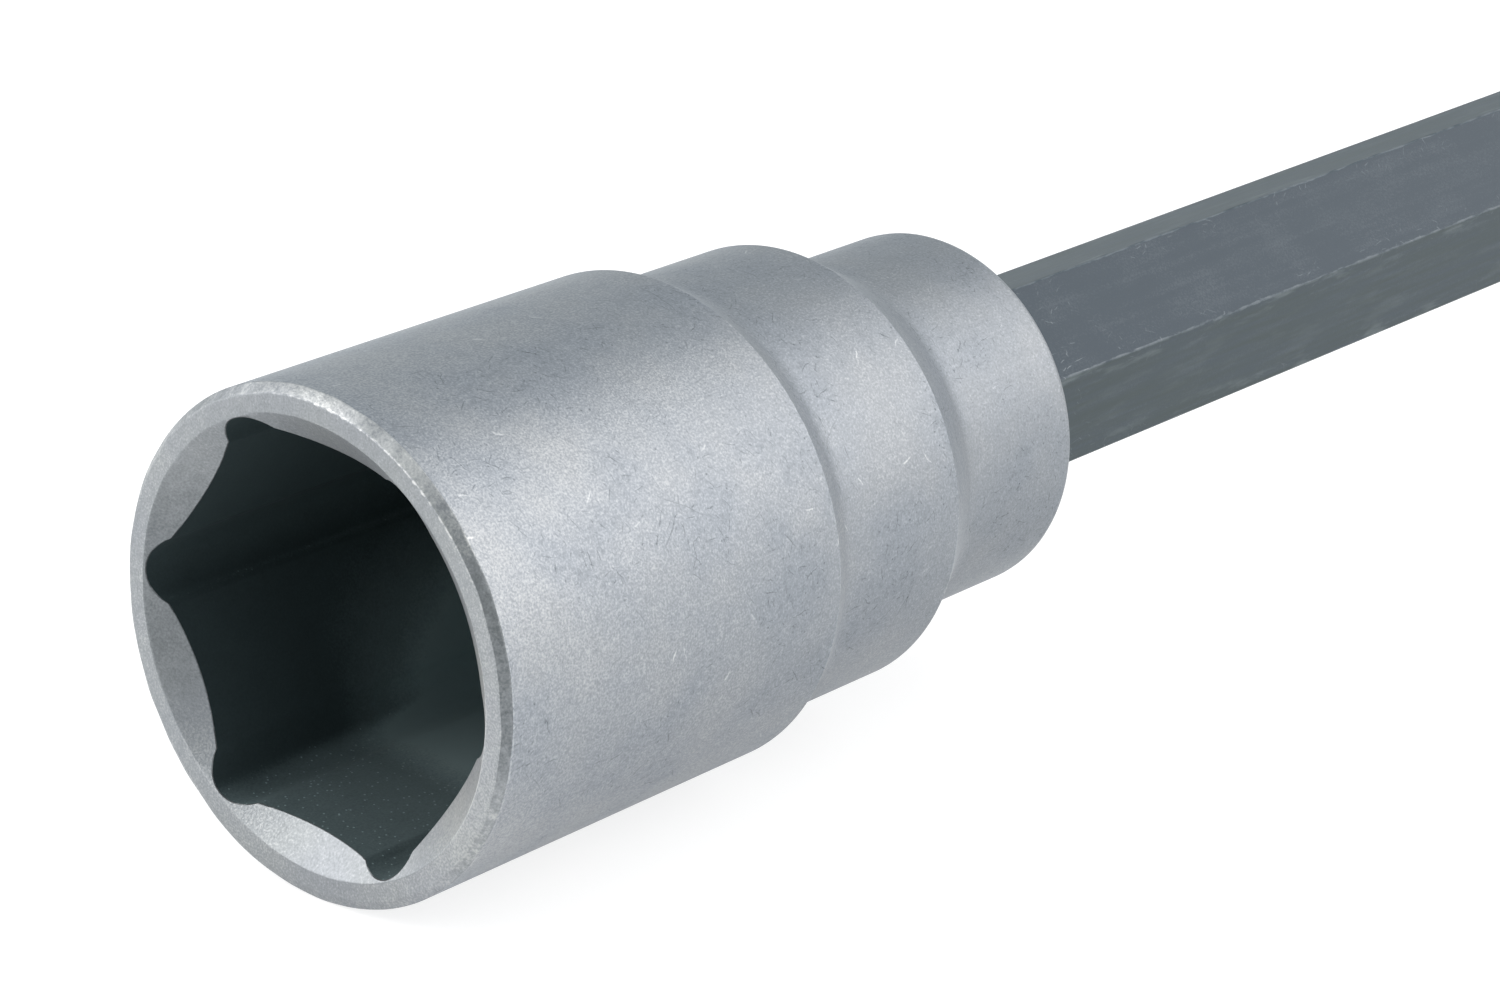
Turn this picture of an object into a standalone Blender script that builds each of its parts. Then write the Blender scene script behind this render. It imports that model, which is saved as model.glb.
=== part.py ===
"""Wheel brace for heavy vehicles: a stepped wheel nut socket on a hexagon shaft, with a sliding tommy bar.

The tool lies on its side. +X runs along the shaft from the socket's mouth to the cross head, +Y runs along
the tommy bar and +Z is up. The origin is on the ground, under the middle of the tool. Lengths are in metres.
"""

import math

import bmesh
import bpy

MM = 0.001

# Clearances
SEAT_GAP = 0.3 * MM  # around what is pressed, pinned or screwed in
SLIDE_GAP = 0.3 * MM  # around the tommy bar in its bore

# Wheel nut socket
NUT_SIZE = 33.0 * MM  # across the flats of the wheel nut
NUT_CLEARANCE = 0.3 * MM  # added to that size in the socket
NUT_TURN = math.radians(23.8)  # a corner of the hexagon, from straight up toward +Y
NUT_DEPTH = 34.0 * MM  # of the hexagon, from the rim
CORNER_RELIEF = 3.4 * MM  # radius of the round relief in each corner of the hexagon
MOUTH_MARGIN = 0.15 * MM  # of the lead-in cone, outside the hexagon's corners
LEAD_IN_ANGLE = math.radians(52.0)  # of the lead-in cone, from the axis
STUD_LEDGE = 2.6 * MM  # where the nut stops, around the bore for the wheel stud
RIM_WIDTH = 2.3 * MM  # from the lead-in cone to the outside
RIM_CHAMFER = 0.7 * MM  # on the outside of the rim
BARREL_LENGTH = 39.4 * MM  # from the rim to the first shoulder
COLLAR_LENGTH = 17.8 * MM  # between the two shoulders
NECK_LENGTH = 20.5 * MM  # from the second shoulder to the back
COLLAR_STEP = 1.9 * MM  # drop in radius at the first shoulder
NECK_STEP = 3.4 * MM  # drop in radius at the second shoulder
SHOULDER_SLOPE = math.radians(30.0)  # of the taper behind both shoulders, from the axis
SHOULDER_EDGE = 0.5 * MM  # rounding of both shoulders
SHOULDER_FILLET = 3.0 * MM  # radius of the hollow at the foot of both tapers
BACK_EDGE = 1.1 * MM  # rounding of the back edge

# Hexagon shaft
SHAFT_SIZE = 17.0 * MM  # across flats
SHAFT_LENGTH = 310.0 * MM
SHAFT_SEAT = 25.7 * MM  # length of shaft that sits in the socket's neck
SHAFT_TURN = math.radians(-13.0)  # a corner of the hexagon, from straight up toward +Y
SHAFT_EDGE = 0.5 * MM  # rounding of its edges

# Tommy bar
BAR_DIAMETER = 18.0 * MM
BAR_LENGTH = 452.0 * MM  # between the two shoulders that the knobs sit on
BAR_EDGE = 0.5 * MM  # chamfer of those shoulders
SPIGOT_STEP = 3.0 * MM  # drop in radius to the spigot at each end
SPIGOT_LENGTH = 16.0 * MM
SPIGOT_CHAMFER = 0.8 * MM

# End knobs
KNOB_WALL = 7.0 * MM  # around the spigot
KNOB_CAP = 8.0 * MM  # solid end beyond the spigot
KNOB_DOME = 7.0 * MM  # height of the domed end
KNOB_EDGE = 1.2 * MM  # chamfer toward the head
KNOB_PIN_DIAMETER = 3.0 * MM

# Cross head
HEAD_NECK_LENGTH = 16.0 * MM
HEAD_WALL = 13.7 * MM  # in front of and behind the bar's bore
HEAD_WEB = 3.7 * MM  # between the shaft's end and the bar's bore
HEAD_CROWN = 3.3 * MM  # how far the round corners stand out past the flats
HEAD_COVE = 6.0 * MM  # length of the hollow curve where the neck meets the head
HEAD_FRONT_EDGE = 1.5 * MM  # rounding at that end of the head
HEAD_BACK_EDGE = 5.0 * MM  # rounding of the back of the head
BORE_CHAMFER = 1.0 * MM  # where the bar enters and leaves
HEAD_PIN_DIAMETER = 6.0 * MM
PIN_WALL_SHARE = 0.2  # wall of a rolled spring pin, as a share of its diameter
PIN_SLOT_SHARE = 0.25  # width of its slot, as a share of its diameter
PIN_SETBACK = 0.4 * MM  # of a pin's ends, under the surface

# Detent that holds the bar where it is put
BALL_DIAMETER = 4.0 * MM
SLEEVE_WALL = 0.7 * MM
SLEEVE_CAP = 2.2 * MM  # solid top of the sleeve
SLEEVE_RECESS = 0.5 * MM  # of the sleeve's top, under the flat
NOSE_SETBACK = 0.9 * MM  # of the sleeve's nose, from the bar's bore
SLOT_WIDTH = 1.0 * MM  # screwdriver slot in the sleeve's top
SLOT_DEPTH = 1.0 * MM
SPRING_WIRE = 0.5 * MM  # diameter of the wire
SPRING_PITCH = 1.0 * MM  # rise of the spring in one turn

# Facets
LARGE_STEPS = 48  # round the socket and the head
BAR_STEPS = 32  # round the bar and the knobs
SMALL_STEPS = 20  # round pins and small bores
ARC_STEPS = 3  # along a rounded edge
RELIEF_STEPS = 6  # along one relief of the nut hexagon
COIL_POINTS = 9  # along one turn of the spring
CUT_PAST = 3.0 * MM  # how far a cutter reaches past the surface that it opens

# Radii and lengths that follow from the sizes above
nut_across = NUT_SIZE + NUT_CLEARANCE
nut_corner = nut_across / math.sqrt(3)
mouth_radius = nut_corner + MOUTH_MARGIN
barrel_radius = mouth_radius + RIM_WIDTH
collar_radius = barrel_radius - COLLAR_STEP
neck_radius = collar_radius - NECK_STEP
stud_radius = nut_across / 2 - STUD_LEDGE
socket_length = BARREL_LENGTH + COLLAR_LENGTH + NECK_LENGTH
stud_depth = socket_length - SHAFT_SEAT
shaft_bore_across = SHAFT_SIZE + 2 * SEAT_GAP
bar_radius = BAR_DIAMETER / 2
bar_bore = bar_radius + SLIDE_GAP
spigot_radius = bar_radius - SPIGOT_STEP
knob_radius = spigot_radius + KNOB_WALL
knob_length = SPIGOT_LENGTH + KNOB_CAP
head_radius = barrel_radius + HEAD_CROWN
head_length = HEAD_NECK_LENGTH + 2 * (HEAD_WALL + bar_bore)
head_seat = HEAD_NECK_LENGTH + HEAD_WALL - HEAD_WEB
tool_length = stud_depth + SHAFT_LENGTH + SEAT_GAP - head_seat + head_length

# Places: the tool's axis is as high as the socket's radius, so that socket and head both lie on the ground
axis_height = barrel_radius
mouth_x = -tool_length / 2
shaft_x = mouth_x + stud_depth
head_x = tool_length / 2 - head_length
head_pin_x = head_x + HEAD_NECK_LENGTH / 2
bar_x = tool_length / 2 - HEAD_WALL - bar_bore
bar_end = BAR_LENGTH / 2
knob_pin_y = bar_end + SPIGOT_LENGTH / 2

# Heights in the detent, over the bar's axis
ball_radius = BALL_DIAMETER / 2
ball_height = bar_radius + SEAT_GAP + ball_radius
sleeve_bore = ball_radius + SEAT_GAP
sleeve_radius = sleeve_bore + SLEEVE_WALL
sleeve_top = barrel_radius - SLEEVE_RECESS
sleeve_ceiling = sleeve_top - SLEEVE_CAP
nose_height = bar_bore + NOSE_SETBACK
spring_radius = sleeve_bore - SEAT_GAP - SPRING_WIRE / 2
spring_reach = ball_radius + SEAT_GAP + SPRING_WIRE / 2
spring_bottom = ball_height + math.sqrt(spring_reach**2 - spring_radius**2)
spring_top = sleeve_ceiling - SEAT_GAP - SPRING_WIRE / 2

# Turns that carry a piece's own +Z axis to the direction in the name
TO_MOUTH = (0.0, -math.pi / 2, 0.0)
TO_PLUS_Y = (-math.pi / 2, 0.0, 0.0)
TO_MINUS_Y = (math.pi / 2, 0.0, 0.0)
UPRIGHT = (0.0, 0.0, 0.0)


def clear_scene():
    for old in list(bpy.data.objects):
        bpy.data.objects.remove(old, do_unlink=True)


def new_collection(name):
    collection = bpy.data.collections.new(name)
    bpy.context.scene.collection.children.link(collection)
    return collection


def steel(name, colour, roughness):
    material = bpy.data.materials.new(name)
    material.use_nodes = True
    shader = material.node_tree.nodes["Principled BSDF"]
    shader.inputs["Base Color"].default_value = (*colour, 1.0)
    shader.inputs["Roughness"].default_value = roughness
    shader.inputs["Metallic"].default_value = 1.0
    return material


def add(name, data, collection, location=(0.0, 0.0, 0.0), rotation=UPRIGHT, parent=None):
    """Adds an object; under a parent, the location is measured from the parent's origin."""
    added = bpy.data.objects.new(name, data)
    collection.objects.link(added)
    added.location = location
    added.rotation_euler = rotation
    added.parent = parent
    return added


def arc(centre, radii, start, end, steps):
    """Points on an arc, or on part of an ellipse, from one angle to another."""
    points = []
    for step in range(steps + 1):
        angle = start + (end - start) * step / steps
        points.append((centre[0] + radii[0] * math.cos(angle), centre[1] + radii[1] * math.sin(angle)))
    return points


def turned(name, profile, steps, **placing):
    """A turned piece: a profile of (radius, height) points that starts and ends on the axis."""
    mesh = bpy.data.meshes.new(name)
    edges = [(index, index + 1) for index in range(len(profile) - 1)]
    mesh.from_pydata([(radius, 0.0, height) for radius, height in profile], edges, [])
    piece = add(name, mesh, **placing)
    screw = piece.modifiers.new("Turn", "SCREW")
    screw.steps = steps
    screw.render_steps = steps
    screw.use_merge_vertices = True
    screw.merge_threshold = 0.01 * MM
    return piece


def extruded(name, outline, length, **placing):
    """A flat outline, extruded half its length each way along its own Z axis, as a welded mesh."""
    curve = bpy.data.curves.new(name, "CURVE")
    curve.dimensions = "2D"
    curve.fill_mode = "BOTH"
    curve.extrude = length / 2
    spline = curve.splines.new("POLY")
    spline.points.add(len(outline) - 1)
    for point, (x, y) in zip(spline.points, outline):
        point.co = (x, y, 0.0, 1.0)
    spline.use_cyclic_u = True
    guide = bpy.data.objects.new(name + "_guide", curve)
    bpy.context.scene.collection.objects.link(guide)
    bpy.context.view_layer.update()
    mesh = bpy.data.meshes.new_from_object(guide.evaluated_get(bpy.context.evaluated_depsgraph_get()))
    bpy.data.objects.remove(guide, do_unlink=True)
    shape = bmesh.new()
    shape.from_mesh(mesh)
    bmesh.ops.remove_doubles(shape, verts=shape.verts, dist=0.001 * MM)
    bmesh.ops.recalc_face_normals(shape, faces=shape.faces)
    shape.to_mesh(mesh)
    shape.free()
    return add(name, mesh, **placing)


def cylinder(name, radius, length, **placing):
    shape = bmesh.new()
    bmesh.ops.create_cone(
        shape, cap_ends=True, segments=SMALL_STEPS, radius1=radius, radius2=radius, depth=length
    )
    mesh = bpy.data.meshes.new(name)
    shape.to_mesh(mesh)
    shape.free()
    return add(name, mesh, **placing)


def box(name, size, **placing):
    shape = bmesh.new()
    bmesh.ops.create_cube(shape, size=1.0)
    bmesh.ops.scale(shape, vec=size, verts=shape.verts)
    mesh = bpy.data.meshes.new(name)
    shape.to_mesh(mesh)
    shape.free()
    return add(name, mesh, **placing)


def cut(piece, cutter, operation="DIFFERENCE"):
    boolean = piece.modifiers.new("Cut " + cutter.name, "BOOLEAN")
    boolean.operation = operation
    boolean.solver = "EXACT"
    boolean.object = cutter
    cutter.hide_render = True
    cutter.display_type = "WIRE"


def finish(piece, material):
    """Applies the modifiers, then shades the round faces smooth and keeps the machined edges sharp."""
    bpy.context.view_layer.update()
    evaluated = piece.evaluated_get(bpy.context.evaluated_depsgraph_get())
    mesh = bpy.data.meshes.new_from_object(evaluated)
    mesh.name = piece.name
    piece.modifiers.clear()
    piece.data = mesh
    mesh.shade_smooth()
    mesh.set_sharp_from_angle(angle=math.radians(32.0))
    mesh.materials.clear()
    mesh.materials.append(material)


def hexagon(across, turn):
    corner = across / math.sqrt(3)
    angles = [turn + side * math.pi / 3 for side in range(6)]
    return [(corner * math.cos(angle), corner * math.sin(angle)) for angle in angles]


def nut_hexagon():
    """The socket's hexagon: straight flanks, and in each corner an arc through the corner point."""
    outline = []
    for side in range(6):
        corner_angle = NUT_TURN + side * math.pi / 3
        centre_distance = nut_corner - CORNER_RELIEF
        centre = (centre_distance * math.cos(corner_angle), centre_distance * math.sin(corner_angle))
        radii = (CORNER_RELIEF, CORNER_RELIEF)
        outline += arc(centre, radii, corner_angle - math.pi / 3, corner_angle + math.pi / 3, RELIEF_STEPS)
    return outline


def shoulder(large, small, height):
    """A step down in radius: a rounded edge, a taper, and a hollow fillet at the taper's foot."""
    foot = height - (large - small) / math.tan(SHOULDER_SLOPE)
    reach = math.tan(SHOULDER_SLOPE / 2)
    edge = (large - SHOULDER_EDGE, height + SHOULDER_EDGE * reach)
    hollow = (small + SHOULDER_FILLET, foot - SHOULDER_FILLET * reach)
    rounded = arc(edge, (SHOULDER_EDGE, SHOULDER_EDGE), 0.0, -SHOULDER_SLOPE, ARC_STEPS)
    fillet = (SHOULDER_FILLET, SHOULDER_FILLET)
    return rounded + arc(hollow, fillet, math.pi - SHOULDER_SLOPE, math.pi, ARC_STEPS)


def make_socket(parts, cutters, brace, material):
    """Turned from the rim's plane (height 0) to the back, then broached for the nut and for the shaft."""
    collar_height = -BARREL_LENGTH
    neck_height = collar_height - COLLAR_LENGTH
    cone_depth = (mouth_radius - stud_radius) / math.tan(LEAD_IN_ANGLE)
    profile = [(0.0, -stud_depth), (stud_radius, -stud_depth), (stud_radius, -cone_depth)]
    profile += [(mouth_radius, 0.0), (barrel_radius - RIM_CHAMFER, 0.0), (barrel_radius, -RIM_CHAMFER)]
    profile += shoulder(barrel_radius, collar_radius, collar_height)
    profile += shoulder(collar_radius, neck_radius, neck_height)
    back = (neck_radius - BACK_EDGE, BACK_EDGE - socket_length)
    profile += arc(back, (BACK_EDGE, BACK_EDGE), 0.0, -math.pi / 2, ARC_STEPS)
    profile += [(0.0, -socket_length)]
    at_rim = (mouth_x, 0.0, axis_height)
    socket = turned(
        "wheel_nut_socket", profile, LARGE_STEPS,
        collection=parts, location=at_rim, rotation=TO_MOUTH, parent=brace,
    )
    nut_length = NUT_DEPTH + CUT_PAST
    nut_middle = (mouth_x + NUT_DEPTH - nut_length / 2, 0.0, axis_height)
    nut_cutter = extruded(
        "nut_cutter", nut_hexagon(), nut_length, collection=cutters, location=nut_middle, rotation=TO_MOUTH
    )
    cut(socket, nut_cutter)
    bore_length = SHAFT_SEAT + 2 * CUT_PAST
    bore_middle = (shaft_x + SHAFT_SEAT / 2, 0.0, axis_height)
    shaft_hole = hexagon(shaft_bore_across, SHAFT_TURN)
    bore_cutter = extruded(
        "socket_bore_cutter", shaft_hole, bore_length,
        collection=cutters, location=bore_middle, rotation=TO_MOUTH,
    )
    cut(socket, bore_cutter)
    finish(socket, material)


def make_shaft(parts, cutters, brace, material):
    middle = (shaft_x + SHAFT_LENGTH / 2, 0.0, axis_height)
    shaft = extruded(
        "hex_shaft", hexagon(SHAFT_SIZE, SHAFT_TURN), SHAFT_LENGTH, collection=parts, location=middle,
        rotation=TO_MOUTH, parent=brace,
    )
    bevel = shaft.modifiers.new("Drawn edges", "BEVEL")
    bevel.width = SHAFT_EDGE
    bevel.segments = 2
    cut(shaft, bpy.data.objects["head_pin_cutter"])
    finish(shaft, material)


def make_head(parts, cutters, brace, material):
    """Turned from its back (height 0) to the neck's front, squared on four sides, then bored."""
    neck_height = head_length - HEAD_NECK_LENGTH
    front = (head_radius - HEAD_FRONT_EDGE, neck_height - HEAD_FRONT_EDGE)
    rise = head_radius - HEAD_FRONT_EDGE - neck_radius
    profile = [(0.0, head_length)]
    neck_edge = (neck_radius - BACK_EDGE, head_length - BACK_EDGE)
    profile += arc(neck_edge, (BACK_EDGE, BACK_EDGE), math.pi / 2, 0.0, ARC_STEPS)
    cove = (neck_radius + rise, neck_height + HEAD_COVE)
    profile += arc(cove, (rise, HEAD_COVE), math.pi, 1.5 * math.pi, 2 * ARC_STEPS)
    profile += arc(front, (HEAD_FRONT_EDGE, HEAD_FRONT_EDGE), math.pi / 2, 0.0, ARC_STEPS)[1:]
    back = (head_radius - HEAD_BACK_EDGE, HEAD_BACK_EDGE)
    profile += arc(back, (HEAD_BACK_EDGE, HEAD_BACK_EDGE), 0.0, -math.pi / 2, ARC_STEPS)
    profile += [(0.0, 0.0)]
    at_back = (tool_length / 2, 0.0, axis_height)
    head = turned(
        "cross_head", profile, LARGE_STEPS,
        collection=parts, location=at_back, rotation=TO_MOUTH, parent=brace,
    )
    square = (head_length + 2 * CUT_PAST, 2 * barrel_radius, 2 * barrel_radius)
    head_middle = (head_x + head_length / 2, 0.0, axis_height)
    cut(head, box("flats_cutter", square, collection=cutters, location=head_middle), "INTERSECT")
    broach_length = head_seat + CUT_PAST
    broach_middle = (head_x + head_seat - broach_length / 2, 0.0, axis_height)
    shaft_hole = hexagon(shaft_bore_across, SHAFT_TURN)
    broach = extruded(
        "head_bore_cutter", shaft_hole, broach_length,
        collection=cutters, location=broach_middle, rotation=TO_MOUTH,
    )
    cut(head, broach)
    flare = bar_bore + BORE_CHAMFER + CUT_PAST
    bore_profile = [(0.0, barrel_radius + CUT_PAST), (flare, barrel_radius + CUT_PAST)]
    bore_profile += [(bar_bore, barrel_radius - BORE_CHAMFER), (bar_bore, BORE_CHAMFER - barrel_radius)]
    bore_profile += [(flare, -barrel_radius - CUT_PAST), (0.0, -barrel_radius - CUT_PAST)]
    at_bar = (bar_x, 0.0, axis_height)
    bar_bore_cutter = turned(
        "bar_bore_cutter", bore_profile, BAR_STEPS, collection=cutters, location=at_bar, rotation=TO_PLUS_Y
    )
    cut(head, bar_bore_cutter)
    pin_hole = HEAD_PIN_DIAMETER / 2 + SEAT_GAP
    pin_hole_length = 2 * (neck_radius + CUT_PAST)
    at_pin = (head_pin_x, 0.0, axis_height)
    cut(head, cylinder("head_pin_cutter", pin_hole, pin_hole_length, collection=cutters, location=at_pin))
    sleeve_hole_length = barrel_radius + CUT_PAST
    at_sleeve_hole = (bar_x, 0.0, axis_height + sleeve_hole_length / 2)
    sleeve_hole = sleeve_radius + SEAT_GAP
    sleeve_cutter = cylinder(
        "sleeve_cutter", sleeve_hole, sleeve_hole_length, collection=cutters, location=at_sleeve_hole
    )
    cut(head, sleeve_cutter)
    finish(head, material)


def make_spring_pin(name, diameter, length, material, **placing):
    """A pin rolled from strip, with a slot along its length."""
    outer = diameter / 2
    inner = outer - diameter * PIN_WALL_SHARE
    half_slot = math.asin(PIN_SLOT_SHARE)
    outline = arc((0.0, 0.0), (outer, outer), half_slot, 2 * math.pi - half_slot, SMALL_STEPS)
    outline += arc((0.0, 0.0), (inner, inner), 2 * math.pi - half_slot, half_slot, SMALL_STEPS)
    finish(extruded(name, outline, length, **placing), material)


def make_bar(parts, slide, material):
    """Turned, with a spigot at each end; the left half of the profile is the right half turned over."""
    tip = bar_end + SPIGOT_LENGTH
    half = [(0.0, tip), (spigot_radius - SPIGOT_CHAMFER, tip), (spigot_radius, tip - SPIGOT_CHAMFER)]
    half += [(spigot_radius, bar_end), (bar_radius - BAR_EDGE, bar_end), (bar_radius, bar_end - BAR_EDGE)]
    profile = half + [(radius, -height) for radius, height in reversed(half)]
    bar = turned("tommy_bar", profile, BAR_STEPS, collection=parts, rotation=TO_PLUS_Y, parent=slide)
    for side in ("left", "right"):
        cut(bar, bpy.data.objects["knob_pin_cutter_" + side])
    finish(bar, material)


def make_knob(side, sign, parts, cutters, slide, material, pin_material):
    """Turned, domed at the outer end, with a blind bore for the spigot and a cross pin."""
    base = knob_length - KNOB_DOME
    profile = arc((0.0, base), (knob_radius, KNOB_DOME), math.pi / 2, 0.0, 2 * ARC_STEPS)
    profile += [(knob_radius, KNOB_EDGE), (knob_radius - KNOB_EDGE, 0.0)]
    knob_bore = spigot_radius + SEAT_GAP
    profile += [(knob_bore, 0.0), (knob_bore, SPIGOT_LENGTH), (0.0, SPIGOT_LENGTH)]
    rotation = TO_PLUS_Y if sign > 0 else TO_MINUS_Y
    at_shoulder = (0.0, sign * (bar_end + SEAT_GAP), 0.0)
    knob = turned(
        "end_knob_" + side, profile, BAR_STEPS,
        collection=parts, location=at_shoulder, rotation=rotation, parent=slide,
    )
    at_pin = (bar_x, sign * knob_pin_y, axis_height)
    hole_length = 2 * (knob_radius + CUT_PAST)
    hole = KNOB_PIN_DIAMETER / 2 + SEAT_GAP
    cut(knob, cylinder("knob_pin_cutter_" + side, hole, hole_length, collection=cutters, location=at_pin))
    finish(knob, material)
    make_spring_pin(
        "knob_pin_" + side, KNOB_PIN_DIAMETER, 2 * (knob_radius - PIN_SETBACK), pin_material,
        collection=parts, location=(0.0, sign * knob_pin_y, 0.0), parent=slide,
    )


def make_sleeve(parts, cutters, brace, material):
    """Threaded sleeve of the detent: open at the nose, with a lip that keeps the ball in, and a slotted top."""
    drop = ball_height - nose_height
    lip_radius = math.sqrt(sleeve_bore**2 - drop**2)
    profile = [(0.0, sleeve_top), (sleeve_radius, sleeve_top), (sleeve_radius, nose_height)]
    profile += [(lip_radius, nose_height), (sleeve_bore, ball_height)]
    profile += [(sleeve_bore, sleeve_ceiling), (0.0, sleeve_ceiling)]
    at_bar = (bar_x, 0.0, axis_height)
    sleeve = turned("detent_sleeve", profile, SMALL_STEPS, collection=parts, location=at_bar, parent=brace)
    slot = (2 * (sleeve_radius + CUT_PAST), SLOT_WIDTH, 2 * SLOT_DEPTH)
    at_top = (bar_x, 0.0, axis_height + sleeve_top)
    cut(sleeve, box("slot_cutter", slot, collection=cutters, location=at_top))
    finish(sleeve, material)


def make_detent_spring(parts, brace, material):
    turns = (spring_top - spring_bottom) / SPRING_PITCH
    count = math.ceil(turns * COIL_POINTS)
    curve = bpy.data.curves.new("detent_spring", "CURVE")
    curve.dimensions = "3D"
    curve.bevel_depth = SPRING_WIRE / 2
    curve.bevel_resolution = 1
    curve.use_fill_caps = True
    curve.materials.append(material)
    spline = curve.splines.new("POLY")
    spline.points.add(count)
    points = []
    for index, point in enumerate(spline.points):
        share = index / count
        angle = 2 * math.pi * turns * share
        height = spring_bottom + (spring_top - spring_bottom) * share
        points.append((spring_radius * math.cos(angle), spring_radius * math.sin(angle), height))
        point.co = (*points[-1], 1.0)
    add("detent_spring", curve, parts, location=(bar_x, 0.0, axis_height), parent=brace)
    gaps = [math.dist(first, points[later]) for index, first in enumerate(points)
            for later in range(index + COIL_POINTS // 2, len(points))]
    print(f"detent_spring: least gap between turns {(min(gaps) - SPRING_WIRE) / MM:.2f} mm")


def make_ball(parts, travel, material):
    shape = bmesh.new()
    bmesh.ops.create_uvsphere(shape, u_segments=SMALL_STEPS, v_segments=SMALL_STEPS // 2, radius=ball_radius)
    mesh = bpy.data.meshes.new("detent_ball")
    shape.to_mesh(mesh)
    shape.free()
    finish(add("detent_ball", mesh, parts, parent=travel), material)


def main():
    clear_scene()
    parts = new_collection("wheel_brace")
    cutters = new_collection("cutters")
    satin = steel("satin_grey_steel", (0.36, 0.38, 0.40), 0.48)
    burnished = steel("burnished_steel", (0.075, 0.085, 0.09), 0.36)
    rolled = steel("spring_steel", (0.20, 0.21, 0.22), 0.30)
    hardened = steel("hardened_steel", (0.55, 0.56, 0.57), 0.15)
    brace = add("brace", None, parts)
    slide = add("bar_slide", None, parts, location=(bar_x, 0.0, axis_height), parent=brace)
    travel = add("ball_travel", None, parts, location=(bar_x, 0.0, axis_height + ball_height), parent=brace)
    make_socket(parts, cutters, brace, satin)
    make_head(parts, cutters, brace, satin)
    make_shaft(parts, cutters, brace, burnished)
    make_spring_pin(
        "head_pin", HEAD_PIN_DIAMETER, 2 * (neck_radius - PIN_SETBACK), rolled,
        collection=parts, location=(head_pin_x, 0.0, axis_height), parent=brace,
    )
    make_knob("left", 1.0, parts, cutters, slide, satin, rolled)
    make_knob("right", -1.0, parts, cutters, slide, satin, rolled)
    make_bar(parts, slide, burnished)
    make_sleeve(parts, cutters, brace, rolled)
    make_detent_spring(parts, brace, hardened)
    make_ball(parts, travel, hardened)
    cutters.hide_render = True


main()
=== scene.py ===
# %% [markdown]
# # A wheel brace, from bare solids to worn steel
# The frame holds the tool's solids at their real size: a stepped socket for a wheel nut, a hexagon shaft,
# a cross head and a tommy bar that slides through it. Those solids are faceted and plain. In this lesson
# each piece is modelled again, with the fine edges that a lathe, a broach and a file leave, and then gets
# its steel. The frame is never moved: the new pieces are made where the solids already are.

# %% Load the frame
import math
import random
from types import SimpleNamespace

import bmesh
import bpy
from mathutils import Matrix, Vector


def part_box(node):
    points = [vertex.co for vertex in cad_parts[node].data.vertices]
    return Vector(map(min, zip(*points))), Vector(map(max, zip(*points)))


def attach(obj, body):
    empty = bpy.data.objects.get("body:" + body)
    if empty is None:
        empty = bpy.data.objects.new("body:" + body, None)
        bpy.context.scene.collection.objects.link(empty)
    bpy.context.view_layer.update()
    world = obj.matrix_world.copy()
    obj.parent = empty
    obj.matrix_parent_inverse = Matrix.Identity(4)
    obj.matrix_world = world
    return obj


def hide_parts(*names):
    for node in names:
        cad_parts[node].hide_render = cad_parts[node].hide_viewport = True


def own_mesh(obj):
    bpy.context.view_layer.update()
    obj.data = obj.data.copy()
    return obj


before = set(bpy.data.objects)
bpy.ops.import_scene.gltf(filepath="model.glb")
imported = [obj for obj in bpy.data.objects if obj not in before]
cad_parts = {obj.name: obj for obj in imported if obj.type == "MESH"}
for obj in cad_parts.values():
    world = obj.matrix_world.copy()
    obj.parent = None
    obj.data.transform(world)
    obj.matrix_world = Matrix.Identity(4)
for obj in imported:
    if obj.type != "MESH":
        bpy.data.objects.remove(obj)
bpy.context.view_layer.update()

# %% [markdown]
# ## Where things are
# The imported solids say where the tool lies, so the main places are measured from their boxes. The tool's
# axis runs along X, half way up the socket. Sizes that a box can't tell, such as the nut's width, are
# written in millimetres where they are first needed, and one factor turns them into metres.

# %% Places
MM = 0.001
ALONG_X = Vector((1.0, 0.0, 0.0))
ALONG_Y = Vector((0.0, 1.0, 0.0))
ALONG_Z = Vector((0.0, 0.0, 1.0))

socket_low, socket_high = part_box("wheel_nut_socket")
shaft_low, shaft_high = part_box("hex_shaft")
head_low, head_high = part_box("cross_head")
bar_low, bar_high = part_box("tommy_bar")
mouth_x = socket_low.x
axis_z = (socket_low.z + socket_high.z) / 2
bar_x = (bar_low.x + bar_high.x) / 2
rim_centre = Vector((mouth_x, 0.0, axis_z))
bar_centre = Vector((bar_x, 0.0, axis_z))
print("rim centre", rim_centre[:], "bar centre", bar_centre[:])

# %% [markdown]
# ## The camera
# The picture is taken with a long lens from in front of the mouth, a little above it. A long lens keeps
# the socket's sides almost parallel. The camera's place is measured from the centre of the rim, because
# that is what the eye goes to.

# %% Camera
CAMERA_FROM_RIM = Vector((-238.2, -254.2, 140.4)) * MM
LOOK_ALONG = Vector((0.7067, 0.6171, -0.3459))
LENS = 113.65
SENSOR_WIDTH = 36.0
NEAREST_SEEN = 10.0 * MM

bpy.ops.object.camera_add(
    location=rim_centre + CAMERA_FROM_RIM,
    rotation=LOOK_ALONG.to_track_quat("-Z", "Y").to_euler(),
)
camera = bpy.context.object
camera.name = "portrait_camera"
camera.data.sensor_fit = "HORIZONTAL"
camera.data.sensor_width = SENSOR_WIDTH
camera.data.lens = LENS
camera.data.clip_start = NEAREST_SEEN
bpy.context.scene.camera = camera
print("camera at", [round(value, 3) for value in camera.location])

# %% [markdown]
# ## Helpers for materials
# A picker shows colours as sRGB hex values, but shaders count in linear light, so one function turns the
# first into the second. Another adds a shader node with its settings and links, which keeps each material
# below down to what is special about it. Inputs are listed in the order in which the node shows them, or
# named.

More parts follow.
